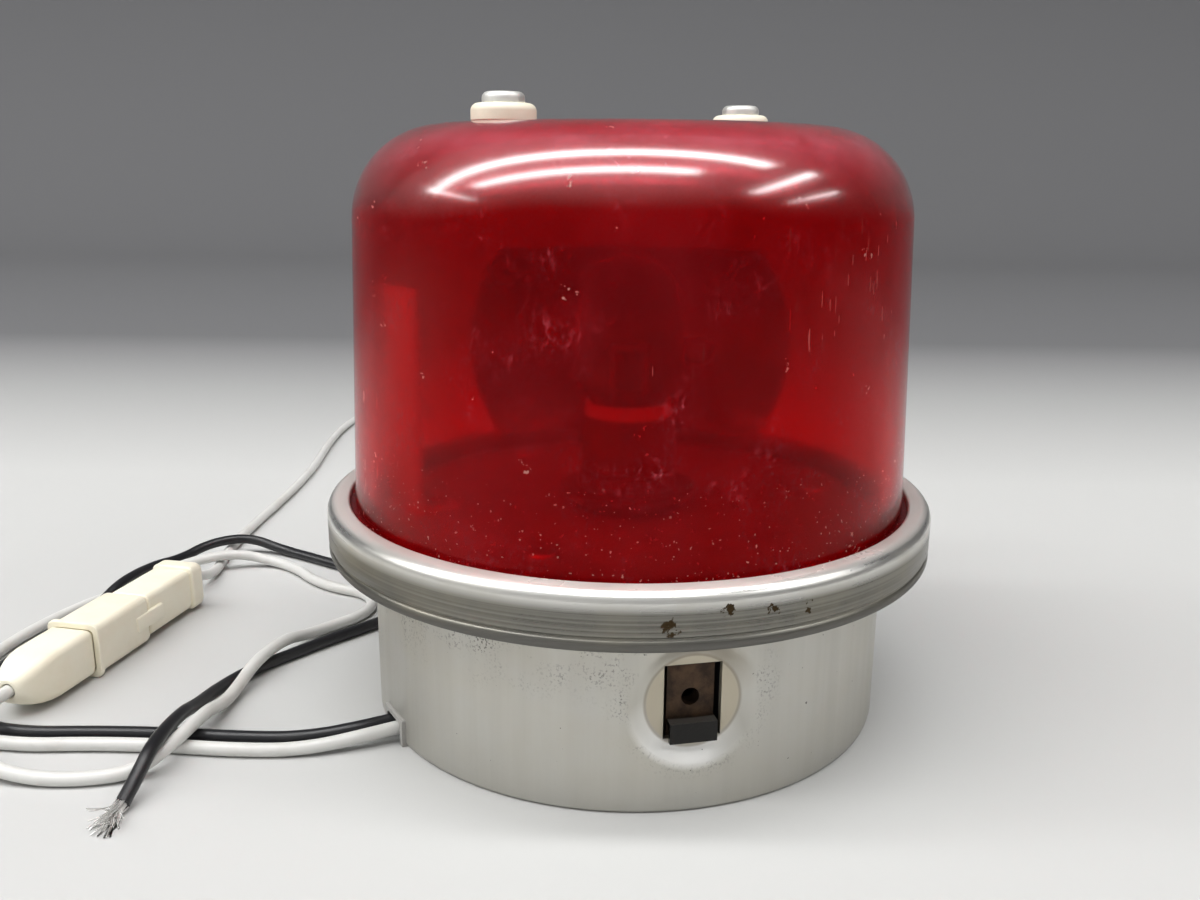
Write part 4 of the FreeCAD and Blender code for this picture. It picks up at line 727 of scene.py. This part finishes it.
def canPoint(angle, radius, z):
    s = canSet
    turn, local = angle, Vector((radius, 0.0))
    notchSide = aside(angle, s["notchTurn"], s["radius"])
    inNotch = notchSide.x > 0 and abs(notchSide.y) < s["notchWidth"] / 2 + 0.01
    if z == 0 and radius >= s["notchInner"] and inNotch:  # its sides run straight inwards
        turn, local = s["notchTurn"], Vector((math.sqrt(radius ** 2 - notchSide.y ** 2), notchSide.y))
    elif radius == s["radius"]:
        for dimple in s["dimpleTurns"]:
            spot = aside(angle, dimple, radius)
            away = math.hypot(spot.y, z - s["dimpleHeight"])
            if spot.x > 0 and away < s["dimpleRim"]:
                pressed = 1 - smoothStep(s["dimpleFlat"], s["dimpleRim"], away)
                turn, local = dimple, Vector((spot.x + (s["dimpleFloor"] - spot.x) * pressed, spot.y))
    swing = math.radians(turn)
    return (local.x * math.cos(swing) - local.y * math.sin(swing),
            local.x * math.sin(swing) + local.y * math.cos(swing), z)


def canOpening(angle, radius, z):
    s = canSet
    for dimple in s["dimpleTurns"]:
        spot = aside(angle, dimple, s["radius"])
        level = abs(z - s["dimpleHeight"]) < s["windowHeight"] / 2
        if level and spot.x > 0 and abs(spot.y) < s["windowWidth"] / 2:
            return True
    spot = aside(angle, s["notchTurn"], s["radius"])
    level = z < s["notchHeight"] and radius > s["notchInner"]
    return level and spot.x > 0 and abs(spot.y) < s["notchWidth"] / 2


def makeCan():
    angles, rows = canAngles(), canRows()
    build = bmesh.new()
    grid = [[build.verts.new(canPoint(angle, r, z)) for r, z in rows] for angle in angles]
    for column, angle in enumerate(angles):
        after = (column + 1) % len(angles)
        middle = (angle + angles[after] + (360 if after == 0 else 0)) / 2
        near, far = grid[column], grid[after]
        for row, ((r, z), (nextR, nextZ)) in enumerate(zip(rows, rows[1:])):
            if not canOpening(middle, (r + nextR) / 2, (z + nextZ) / 2):
                build.faces.new((near[row], far[row], far[row + 1], near[row + 1]))
    can = finishMesh("drawnCan", build, canFinish(), 50.0, closed=False)
    sheet = can.modifiers.new("sheet", "SOLIDIFY")
    sheet.thickness = canSet["wall"] * mm
    sheet.offset = -1.0
    sheet.use_even_offset = True
    softEdges(can, *canSet["softEdge"])
    bakeModifiers(can)
    return dress(can, "can_aluminium", "base_can")


makeCan()
print("can drawn")


# Clamp band: rolled channel, split at the back, with two ears, and painted shade on its upright wall and its
# lower bead

bandSet = {
    "lip": 47.1,
    "lipRound": 0.5,
    "bore": 49.8,
    "radius": 50.8,
    "under": 28.2,
    "underLip": 46.0,
    "ledge": 36.0,
    "top": 37.0,
    "shoulder": 1.9,
    "bead": 1.1,
    "beadTurn": 45,  # degrees at which the bead leaves the groove
    "groove": ((0.0, 0.75), (0.15, 0.5)),  # in from the wall and up from the bead
    "grooveFlat": 0.35,
    "wallMiddle": 33.0,
    "sheet": 1.0,
    "split": 4.0,
    "earThickness": 1.6,
    "earReach": 8.0,
    "earHeight": 7.0,
    "earRound": 2.4,
    "earHole": 1.8,
    "earRoot": 0.3,
    "around": 200,
    "colour": (0.86, 0.85, 0.82),
    # painted shade for the upright wall
    "wallShade": (0.12, 0.115, 0.10),
    "lipDust": (0.74, 0.68, 0.64),
    # painted shade for the lower bead
    "grimeAndShade": (0.14, 0.135, 0.125),
    "rust": (0.045, 0.030, 0.015),
    "stains": ((6.1, -50.4, 32.0), (13.5, -49.0, 34.2), (19.6, -46.9, 33.4), (24.8, -44.3, 33.0)),
}


def bandFinish():
    s = bandSet
    finish, tree, shader = newFinish("brushedBand", s["colour"], 1.0, 0.3)
    lines = noiseMask(tree, (7, 7, 2300), 0.3, 0.7, 3.0)
    cloud = noiseMask(tree, 80, 0.4, 0.75, 5.0)
    # painted shade: the upright wall below the shoulder is coloured much darker than the metal above
    tone = blendColour(tree, heightMask(tree, 33.8, 35.6), s["wallShade"], s["colour"])
    tone = blendColour(tree, lines, tone, (0.46, 0.45, 0.41), 0.35)
    tone = blendColour(tree, cloud, tone, (0.42, 0.38, 0.27), 0.3)
    # painted shade: the lower bead, which turns under, is coloured dark, varied a little by the cloud
    grimeAndShade = times(tree, heightMask(tree, 29.4, 29.8, 1.0, 0.0), spread(tree, cloud, 0, 1, 1.0, 0.8))
    tone = blendColour(tree, grimeAndShade, tone, s["grimeAndShade"], 0.9)
    stained = nearPlace(tree, s["stains"][0], 0.6, 2.2)
    for place in s["stains"][1:]:
        stained = most(tree, stained, nearPlace(tree, place, 0.4, 1.7))
    fine = noiseMask(tree, 1100, 0.35, 0.65, 3.0)
    spots = spread(tree, times(tree, fine, stained), 0.34, 0.44)
    tone = blendColour(tree, spots, tone, s["rust"])
    lipDust = times(tree, heightMask(tree, 36.5, 37.0), spread(tree, cloud, 0, 1, 0.9, 0.6))
    tone = blendColour(tree, lipDust, tone, s["lipDust"])
    bare = spread(tree, lipDust, 0, 1, 1.0, 0.2)
    dullAndShade = plus(tree, times(tree, cloud, 0.12), times(tree, grimeAndShade, 0.2))
    rough = plus(tree, spread(tree, lines, 0, 1, 0.24, 0.36), dullAndShade)
    feed(tree, shader, {"Base Color": tone, "Metallic": bare, "Roughness": rough})
    raiseBump(tree, shader, lines, 0.10, 0.0002)
    return finish


def makeBand():
    s = bandSet
    bend, edge = s["radius"] - s["shoulder"], s["lipRound"]
    outline = [(s["lip"], s["ledge"])]
    outline += arcPoints(s["lip"] + edge, s["top"] - edge, edge, 180, 90, 4)
    outline += arcPoints(bend, s["top"] - s["shoulder"], s["shoulder"], 90, 0, 12)
    bead = arcPoints(s["radius"] - s["bead"], s["under"] + s["bead"], s["bead"], s["beadTurn"], -90, 14)
    inward, low = bead[0]
    outline += [(s["radius"], s["wallMiddle"])] + [(s["radius"] - cut, low + up) for cut, up in s["groove"]]
    outline += [(inward, low + s["grooveFlat"])] + bead
    lip, bore, sill = s["underLip"], s["bore"], s["under"] + s["sheet"]
    outline += [(lip, s["under"]), (lip, sill), (bore, sill), (bore, s["ledge"])]
    gap = math.degrees(math.asin(s["split"] / 2 / s["radius"]))
    build = bmesh.new()
    lathe(build, outline, s["around"], 90 + gap, 360 - 2 * gap)
    middle = (s["under"] + s["top"]) / 2
    half, edge = s["earHeight"] / 2, s["earRound"]
    root, tip = bore + s["earRoot"], s["radius"] + s["earReach"]
    ear = [(root, -half)] + arcPoints(tip - edge, -half + edge, edge, -90, 0, 6)
    ear += arcPoints(tip - edge, half - edge, edge, 0, 90, 6) + [(root, half)]
    hole = arcPoints(s["radius"] + s["earReach"] / 2, 0.0, s["earHole"], 0, 345, 23)
    upright = Matrix(((0, 0, 1, 0), (1, 0, 0, 0), (0, 1, 0, middle), (0, 0, 0, 1)))
    for side in (-1, 1):
        shift = Matrix.Translation((side * (s["split"] + s["earThickness"]) / 2, 0, 0))
        flatSheet(build, ear, [hole], s["earThickness"], shift @ upright)
    band = finishMesh("clampBand", build, bandFinish())
    return dress(band, "ring_aluminium", "clamp_ring")


makeBand()
print("band rolled")


# Crown screws with cross recesses, on thick rounded nylon washers

crownSet = {
    "circle": 25.1,
    "turn": 41.7,
    "seat": 96.2,
    "washer": 4.8,
    "washerHole": 1.95,
    "washerThick": 2.6,
    "washerRound": 1.1,
    "washerFoot": 0.25,
    "washerMouth": 0.2,
    "washerAround": 56,
    "head": 3.15,
    "headHigh": 1.6,
    "headRound": 0.9,
    "headFoot": (0.1, 0.12),
    "shank": 1.75,
    "shankEnd": 87.5,
    "shankTip": 0.3,
    "pitch": 0.8,
    "thread": 0.22,
    "recess": (3.2, 0.75, 0.95),  # length, width and depth of the cross
    "recessTurn": 20,
    "screwAround": 40,
}


def makeCrownScrews(finish):
    s = crownSet
    seat = s["seat"] + s["washerThick"]
    top, brow = seat + s["headHigh"], s["headRound"]
    outline = [(0, s["shankEnd"]), (s["shank"] - s["shankTip"], s["shankEnd"])]
    turns = int((seat - 1 - s["shankEnd"]) / s["pitch"])
    for turn in range(turns):  # thread, a ring for each turn
        z = s["shankEnd"] + s["shankTip"] + turn * s["pitch"]
        outline += [(s["shank"] - s["thread"], z), (s["shank"], z + s["pitch"] / 2)]
    footIn, footUp = s["headFoot"]
    outline += [(s["shank"], seat), (s["head"] - footIn, seat), (s["head"], seat + footUp)]
    outline += arcPoints(s["head"] - brow, top - brow, brow, 0, 90, 6) + [(0, top)]
    build = bmesh.new()
    lathe(build, outline, s["screwAround"])
    screw = finishMesh("crownScrew", build, finish)
    cutter = bmesh.new()
    length, width, depth = s["recess"]
    for turn in (s["recessTurn"], s["recessTurn"] + 90):
        arm = bmesh.ops.create_cube(cutter, size=1.0)["verts"]
        bmesh.ops.scale(cutter, vec=(length, width, 2 * depth), verts=arm)
        bmesh.ops.rotate(cutter, verts=arm, matrix=Matrix.Rotation(math.radians(turn), 3, "Z"))
        bmesh.ops.translate(cutter, verts=arm, vec=(0, 0, top))
    bmesh.ops.scale(cutter, vec=(mm, mm, mm), verts=cutter.verts)
    crossMesh = bpy.data.meshes.new("crossRecess")
    cutter.to_mesh(crossMesh)
    cutter.free()
    cross = addObject("crossRecess", crossMesh)
    cut = screw.modifiers.new("recess", "BOOLEAN")
    cut.object = cross
    cut.use_self = True
    bakeModifiers(screw)
    bpy.data.objects.remove(cross)
    screws = copiesRound("crownScrews", screw, 2, s["circle"], s["turn"], finish)
    return dress(screws, "screw_steel", "dome_screws")


def makeCrownWashers(finish):
    s = crownSet
    top, edge = s["seat"] + s["washerThick"], s["washerRound"]
    foot, mouth = s["washerFoot"], s["washerMouth"]
    outline = [(s["washerHole"], s["seat"]), (s["washer"] - foot, s["seat"]), (s["washer"], s["seat"] + foot)]
    outline += arcPoints(s["washer"] - edge, top - edge, edge, 0, 90, 8)
    outline += [(s["washerHole"] + mouth, top), (s["washerHole"], top - mouth)]
    build = bmesh.new()
    lathe(build, outline, s["washerAround"])
    washer = finishMesh("crownWasher", build, finish)
    washers = copiesRound("crownWashers", washer, 2, s["circle"], s["turn"], finish)
    return dress(washers, "nylon", "dome_washers")


nylonFinish = mouldedPlastic("creamNylon", (0.94, 0.89, 0.73), 0.36, (0.78, 0.66, 0.44), 0.35)
makeCrownScrews(grainedMetal("dulledSteel", (0.86, 0.85, 0.82), 0.50, 400))
makeCrownWashers(nylonFinish)
print("crown screws set")


# Nylon connector: bullet-shaped plug in a receptacle with a flared mouth

connectorSet = {
    "place": (-102.1, -20.5, 5.25),
    "heading": 79.6,
    "leadHole": 1.25,
    "holeFlare": 0.2,
    "plugHole": (6.0, 0.25, 0.0),  # its end, its flare and the plug's tip, along the axis
    "rearHole": (51.2, 50.9, 44.5),  # the receptacle's end, the hole's flare and its end
    # distance along the axis, half width, corner radius
    "plug": [(0.0, 1.9, 1.6), (0.25, 2.25, 1.8), (1.2, 2.85, 1.9), (2.6, 3.5, 1.9), (4.2, 3.98, 1.8),
             (5.8, 4.22, 1.6), (7.4, 4.3, 1.4), (12.0, 4.3, 1.3), (15.9, 4.3, 1.3), (16.4, 4.05, 1.2),
             (16.4, 3.6, 0.8), (28.2, 3.6, 0.8), (28.6, 3.3, 0.7)],
    "mouth": [(29.5, 3.9, 0.8), (16.9, 3.9, 0.8), (16.7, 4.1, 0.9), (16.7, 5.0, 1.4), (16.85, 5.18, 1.5),
              (17.5, 5.18, 1.5), (17.7, 5.0, 1.4), (17.95, 4.72, 1.3), (18.4, 4.7, 1.3)],
    "body": [(31.3, 4.7, 1.3), (31.8, 4.6, 1.3), (32.0, 4.35, 1.2), (32.0, 3.75, 1.0), (33.0, 3.75, 1.0),
             (33.0, 4.0, 1.1), (33.25, 4.2, 1.2), (46.4, 4.2, 1.2), (46.55, 3.95, 1.1), (47.15, 3.95, 1.1),
             (47.3, 4.4, 1.2), (47.6, 4.6, 1.3), (50.3, 4.6, 1.4), (50.9, 4.4, 1.5), (51.2, 4.0, 1.6)],
    "latch": (28.2, 36.4, 1.5, 0.3),  # start, end, half width, height above the collar
    "latchRoot": 0.6,
    "latchRound": 0.3,
}


def squareRing(along, half, corner):
    inner = half - corner
    ring = []
    for quarter, (signY, signZ) in enumerate(((1, 1), (-1, 1), (-1, -1), (1, -1))):
        ring += [(along, y, z) for y, z in
                 arcPoints(signY * inner, signZ * inner, corner, quarter * 90, quarter * 90 + 90, 6)]
    return ring


def connectorMesh(name, build, finish):
    s = connectorSet
    turn = Matrix.Rotation(math.radians(s["heading"]), 4, "Z")
    bmesh.ops.transform(build, matrix=Matrix.Translation(s["place"]) @ turn, verts=build.verts)
    return finishMesh(name, build, finish, 32.0)


def makeConnector():
    s = connectorSet
    hole, flare = s["leadHole"], s["leadHole"] + s["holeFlare"]
    build = bmesh.new()
    bore = [squareRing(along, size, size) for along, size in zip(s["plugHole"], (hole, hole, flare))]
    loft(build, bore + [squareRing(*section) for section in s["plug"]])
    plug = dress(connectorMesh("nylonPlug", build, nylonFinish), "nylon", "plug_housing")
    build = bmesh.new()
    bore = [squareRing(along, size, size) for along, size in zip(s["rearHole"], (flare, hole, hole))]
    loft(build, [squareRing(*section) for section in s["mouth"] + s["body"]] + bore)
    start, end, half, rise = s["latch"]
    low, high = -s["body"][0][1] - rise, rise + s["latchRoot"]
    latch = bmesh.ops.create_cube(build, size=1.0)["verts"]
    bmesh.ops.scale(build, vec=(end - start, high, 2 * half), verts=latch)
    bmesh.ops.translate(build, verts=latch, vec=((start + end) / 2, low + high / 2, 0))
    edges = list({edge for vertex in latch for edge in vertex.link_edges})
    bmesh.ops.bevel(build, geom=edges, offset=s["latchRound"], segments=3, affect="EDGES", profile=0.5)
    shell = dress(connectorMesh("nylonReceptacle", build, nylonFinish), "nylon", "receptacle_housing")
    return plug, shell


plugPiece, receptaclePiece = makeConnector()
print("connector moulded")


# Clip nuts: rusty spring plate with a blackened folded lip

def clipFinish():
    finish, tree, shader = newFinish("rustySpring", (0.16, 0.09, 0.055), 0.6, 0.62)
    rust = noiseMask(tree, 420, 0.4, 0.65, 5.0)
    tone = blendColour(tree, rust, (0.042, 0.026, 0.017), (0.11, 0.065, 0.038))
    level = vectorMaths(tree, "MULTIPLY", {0: objectCoords(tree), 1: (1.0, 1.0, 0.0)})[0]
    reach = vectorMaths(tree, "LENGTH", {0: level})["Value"]
    lip = spread(tree, reach, 41.2 * mm, 41.6 * mm)  # it stands further from the axis
    tone = blendColour(tree, lip, tone, (0.012, 0.011, 0.010))
    normal = tree.nodes.new("ShaderNodeNewGeometry").outputs["Normal"]
    upward = addNode(tree, "ShaderNodeSeparateXYZ", {0: normal})["Z"]
    # partly wear, partly painted highlight: the lip's upward faces are lightened
    wearAndHighlight = times(tree, spread(tree, upward, 0.5, 0.9), lip)
    tone = blendColour(tree, wearAndHighlight, tone, (0.34, 0.33, 0.31), 0.8)
    feed(tree, shader, {"Base Color": tone, "Roughness": spread(tree, lip, 0, 1, 0.66, 0.3)})
    raiseBump(tree, shader, rust, 0.3, 0.0003)
    return finish


# Grey edging round the notch that the leads pass through

edgingSet = {
    "outer": 3.75,
    "rise": 4.55,
    "wall": 0.85,
    "thick": 2.2,
    "radius": 42.9,
    "corner": 0.3,
    "innerCorner": 0.8,
    "foot": 0.05,  # clear of the floor
    "softEdge": (0.3, 40.0),
}


def makeEdging(finish):
    s = edgingSet
    outer, top, foot, edge = s["outer"], s["rise"], s["foot"], s["corner"]
    inner, sill, bend = outer - s["wall"], top - s["wall"], s["innerCorner"]
    outline = [(outer, foot)] + arcPoints(outer - edge, top - edge, edge, 0, 90, 4)
    outline += arcPoints(edge - outer, top - edge, edge, 90, 180, 4) + [(-outer, foot), (-inner, foot)]
    outline += arcPoints(bend - inner, sill - bend, bend, 180, 90, 5)
    outline += arcPoints(inner - bend, sill - bend, bend, 90, 0, 5) + [(inner, foot)]
    turn = Matrix.Rotation(math.radians(canSet["notchTurn"]), 4, "Z")
    upright = Matrix(((0, 0, 1, s["radius"]), (1, 0, 0, 0), (0, 1, 0, 0), (0, 0, 0, 1)))
    build = bmesh.new()
    flatSheet(build, outline, [], s["thick"], turn @ upright)
    edging = finishMesh("notchEdging", build, finish)
    softEdges(edging, *s["softEdge"])
    bakeModifiers(edging)
    return dress(edging, "grommet_rubber", "wire_grommet")


makeEdging(mouldedPlastic("greyEdging", (0.40, 0.39, 0.37), 0.6, (0.25, 0.23, 0.20)))
print("edging fitted")


# Finishes of the solids

def glassFinish():
    finish, tree, shader = newFinish("lampGlass", (0.60, 0.60, 0.61), 0.0, 0.04)
    shader.inputs["IOR"].default_value = 1.25
    haze = noiseMask(tree, 120, 0.5, 0.8, 4.0)
    passed, rough = spread(tree, haze, 0, 1, 1.0, 0.8), spread(tree, haze, 0, 1, 0.03, 0.2)
    feed(tree, shader, {"Transmission Weight": passed, "Roughness": rough})
    return finish


# The lamp's cap is dark where it sits in the socket and has a pale rim above it
def capFinish():
    finish, tree, shader = newFinish("lampCap", (0.72, 0.54, 0.24), 1.0, 0.4)
    rim = heightMask(tree, 49.4, 49.7)
    stain = noiseMask(tree, 300, 0.45, 0.75, 4.0)
    tone = blendColour(tree, rim, (0.16, 0.12, 0.07), (0.95, 0.93, 0.88))
    tone = blendColour(tree, stain, tone, (0.5, 0.42, 0.3), 0.25)
    feed(tree, shader, {"Base Color": tone, "Metallic": spread(tree, rim, 0, 1, 1.0, 0.0)})
    return finish


solidFinishes = (
    (clipFinish(), ["clip_nuts"]),
    (grainedMetal("deckSheet", (0.62, 0.61, 0.59), 0.55, 200), ["deck_plate"]),
    (grainedMetal("rotorSheet", (0.30, 0.29, 0.28), 0.5, 200),
     ["gear_plate", "reflector_bracket", "rotor_hub", "standoffs", "reflector_rivets"]),
    (mouldedPlastic("paintedShield", (0.93, 0.92, 0.89), 0.6, (0.60, 0.57, 0.52), 0.12),
     ["glare_shield", "heat_shield"]),
    (grainedMetal("polishedDish", (0.55, 0.55, 0.55), 0.22, 80, 0.06), ["reflector"]),
    (grainedMetal("platedSteel", (0.60, 0.59, 0.57), 0.34, 400),
     ["clamp_screw", "clamp_nut", "deck_screws", "gear_plate_screws", "motor_screws", "glare_shield_screws",
      "heat_shield_spacers", "heat_shield_nuts", "gear_rivets", "motor_shaft", "lamp_filament", "pin_contact",
      "socket_contact_sleeve"]),
    (grainedMetal("cutBrass", (0.72, 0.54, 0.24), 0.34, (300, 300, 60)),
     ["ring_gear", "drive_pinion", "terminal_screws", "socket_contact"]),
    (grainedMetal("bearingBronze", (0.55, 0.36, 0.18), 0.4, (300, 300, 60)), ["rotor_bush", "thrust_washer"]),
    (grainedMetal("tarnishedSocket", (0.30, 0.24, 0.16), 0.5, (200, 200, 40)),
     ["lamp_socket", "lamp_post", "lamp_post_nut"]),
    (mouldedPlastic("gasketRubber", (0.02, 0.02, 0.02), 0.75, (0.06, 0.055, 0.05)), ["dome_gasket"]),
    (mouldedPlastic("mouldedBlack", (0.03, 0.03, 0.03), 0.5, (0.08, 0.07, 0.06)),
     ["terminal_block", "motor_end_cap"]),
    (mouldedPlastic("fibreDisc", (0.22, 0.10, 0.05), 0.6), ["socket_insulator"]),
    (mouldedPlastic("motorPaint", (0.05, 0.05, 0.055), 0.4, (0.12, 0.11, 0.10)), ["motor_case"]),
    (glassFinish(), ["lamp_bulb"]),
    (capFinish(), ["lamp_base"]),
)
for finish, names in solidFinishes:
    for name in names:
        nodes[name].data.materials.clear()
        nodes[name].data.materials.append(finish)
print("finishes set")


# Floor, backdrop and light

stageSet = {
    "floor": (0.53, 0.53, 0.52),
    "backdrop": (0.15, 0.15, 0.155),
    "width": 6.0,
    "front": -3.0,
    "back": 0.9,
    "cove": 0.35,
    "wall": 2.5,
    "fade": (0.13, 0.40),  # from floor to backdrop, behind the object
}


def makeStage():
    s = stageSet
    mesh = bpy.data.meshes.new("sweep")
    build = bmesh.new()
    half = s["width"] / 2
    outline = [(s["front"], 0.0)] + arcPoints(s["back"], s["cove"], s["cove"], -90, 0, 12)
    outline.append((s["back"] + s["cove"], s["wall"]))
    rows = [[build.verts.new((x, y, z)) for x in (-half, half)] for y, z in outline]
    for near, far in zip(rows, rows[1:]):
        build.faces.new((near[0], near[1], far[1], far[0])).smooth = True
    build.to_mesh(mesh)
    build.free()
    finish, tree, shader = newFinish("paleSweep", s["floor"], 0.0, 0.85)
    rear = spread(tree, coordPart(tree, "Y"), *s["fade"])
    feed(tree, shader, {"Base Color": blendColour(tree, rear, s["floor"], s["backdrop"])})
    mesh.materials.append(finish)
    sweep = addObject("sweep", mesh)


lightSet = {
    "strips": [  # centre, length, width, turn about Z, power
        ((-1.07, -0.07, 1.5), 4.25, 0.18, 0.0, 33.0),
        ((-0.70, -0.64, 1.5), 2.50, 0.18, 0.0, 19.5),
        ((1.64, -0.52, 1.5), 1.40, 0.18, 90.0, 10.9),
        ((2.92, -0.57, 1.5), 1.50, 0.18, 90.0, 11.7),
        ((-2.92, -0.57, 1.5), 1.50, 0.18, 90.0, 11.7),
    ],
    "softSide": (-0.42, -0.70, 0.57),  # the room is brighter on this side
    "softStart": -0.1,  # the share of that direction where the brighter side starts
    "softDim": 0.06,
    "softBright": 0.50,
}


def makeLights():
    for index, (centre, length, width, turn, power) in enumerate(lightSet["strips"]):
        data = bpy.data.lights.new(f"strip{index}", "AREA")
        data.shape = "RECTANGLE"
        data.size = length
        data.size_y = width
        data.energy = power
        lamp = addObject(f"strip{index}", data)
        lamp.location = centre
        lamp.rotation_euler = (0, 0, math.radians(turn))
    world = bpy.data.worlds.new("softRoom")
    world.use_nodes = True
    tree = world.node_tree
    outward = tree.nodes.new("ShaderNodeTexCoord").outputs["Generated"]
    facing = vectorMaths(tree, "DOT_PRODUCT", {0: outward, 1: lightSet["softSide"]})["Value"]
    level = spread(tree, facing, lightSet["softStart"], 1.0, lightSet["softDim"], lightSet["softBright"])
    feed(tree, tree.nodes["Background"], {"Color": (1.0, 1.0, 1.0, 1.0), "Strength": level})
    bpy.context.scene.world = world


makeStage()
makeLights()
bpy.context.scene.view_settings.view_transform = "Standard"
print("stage lit")
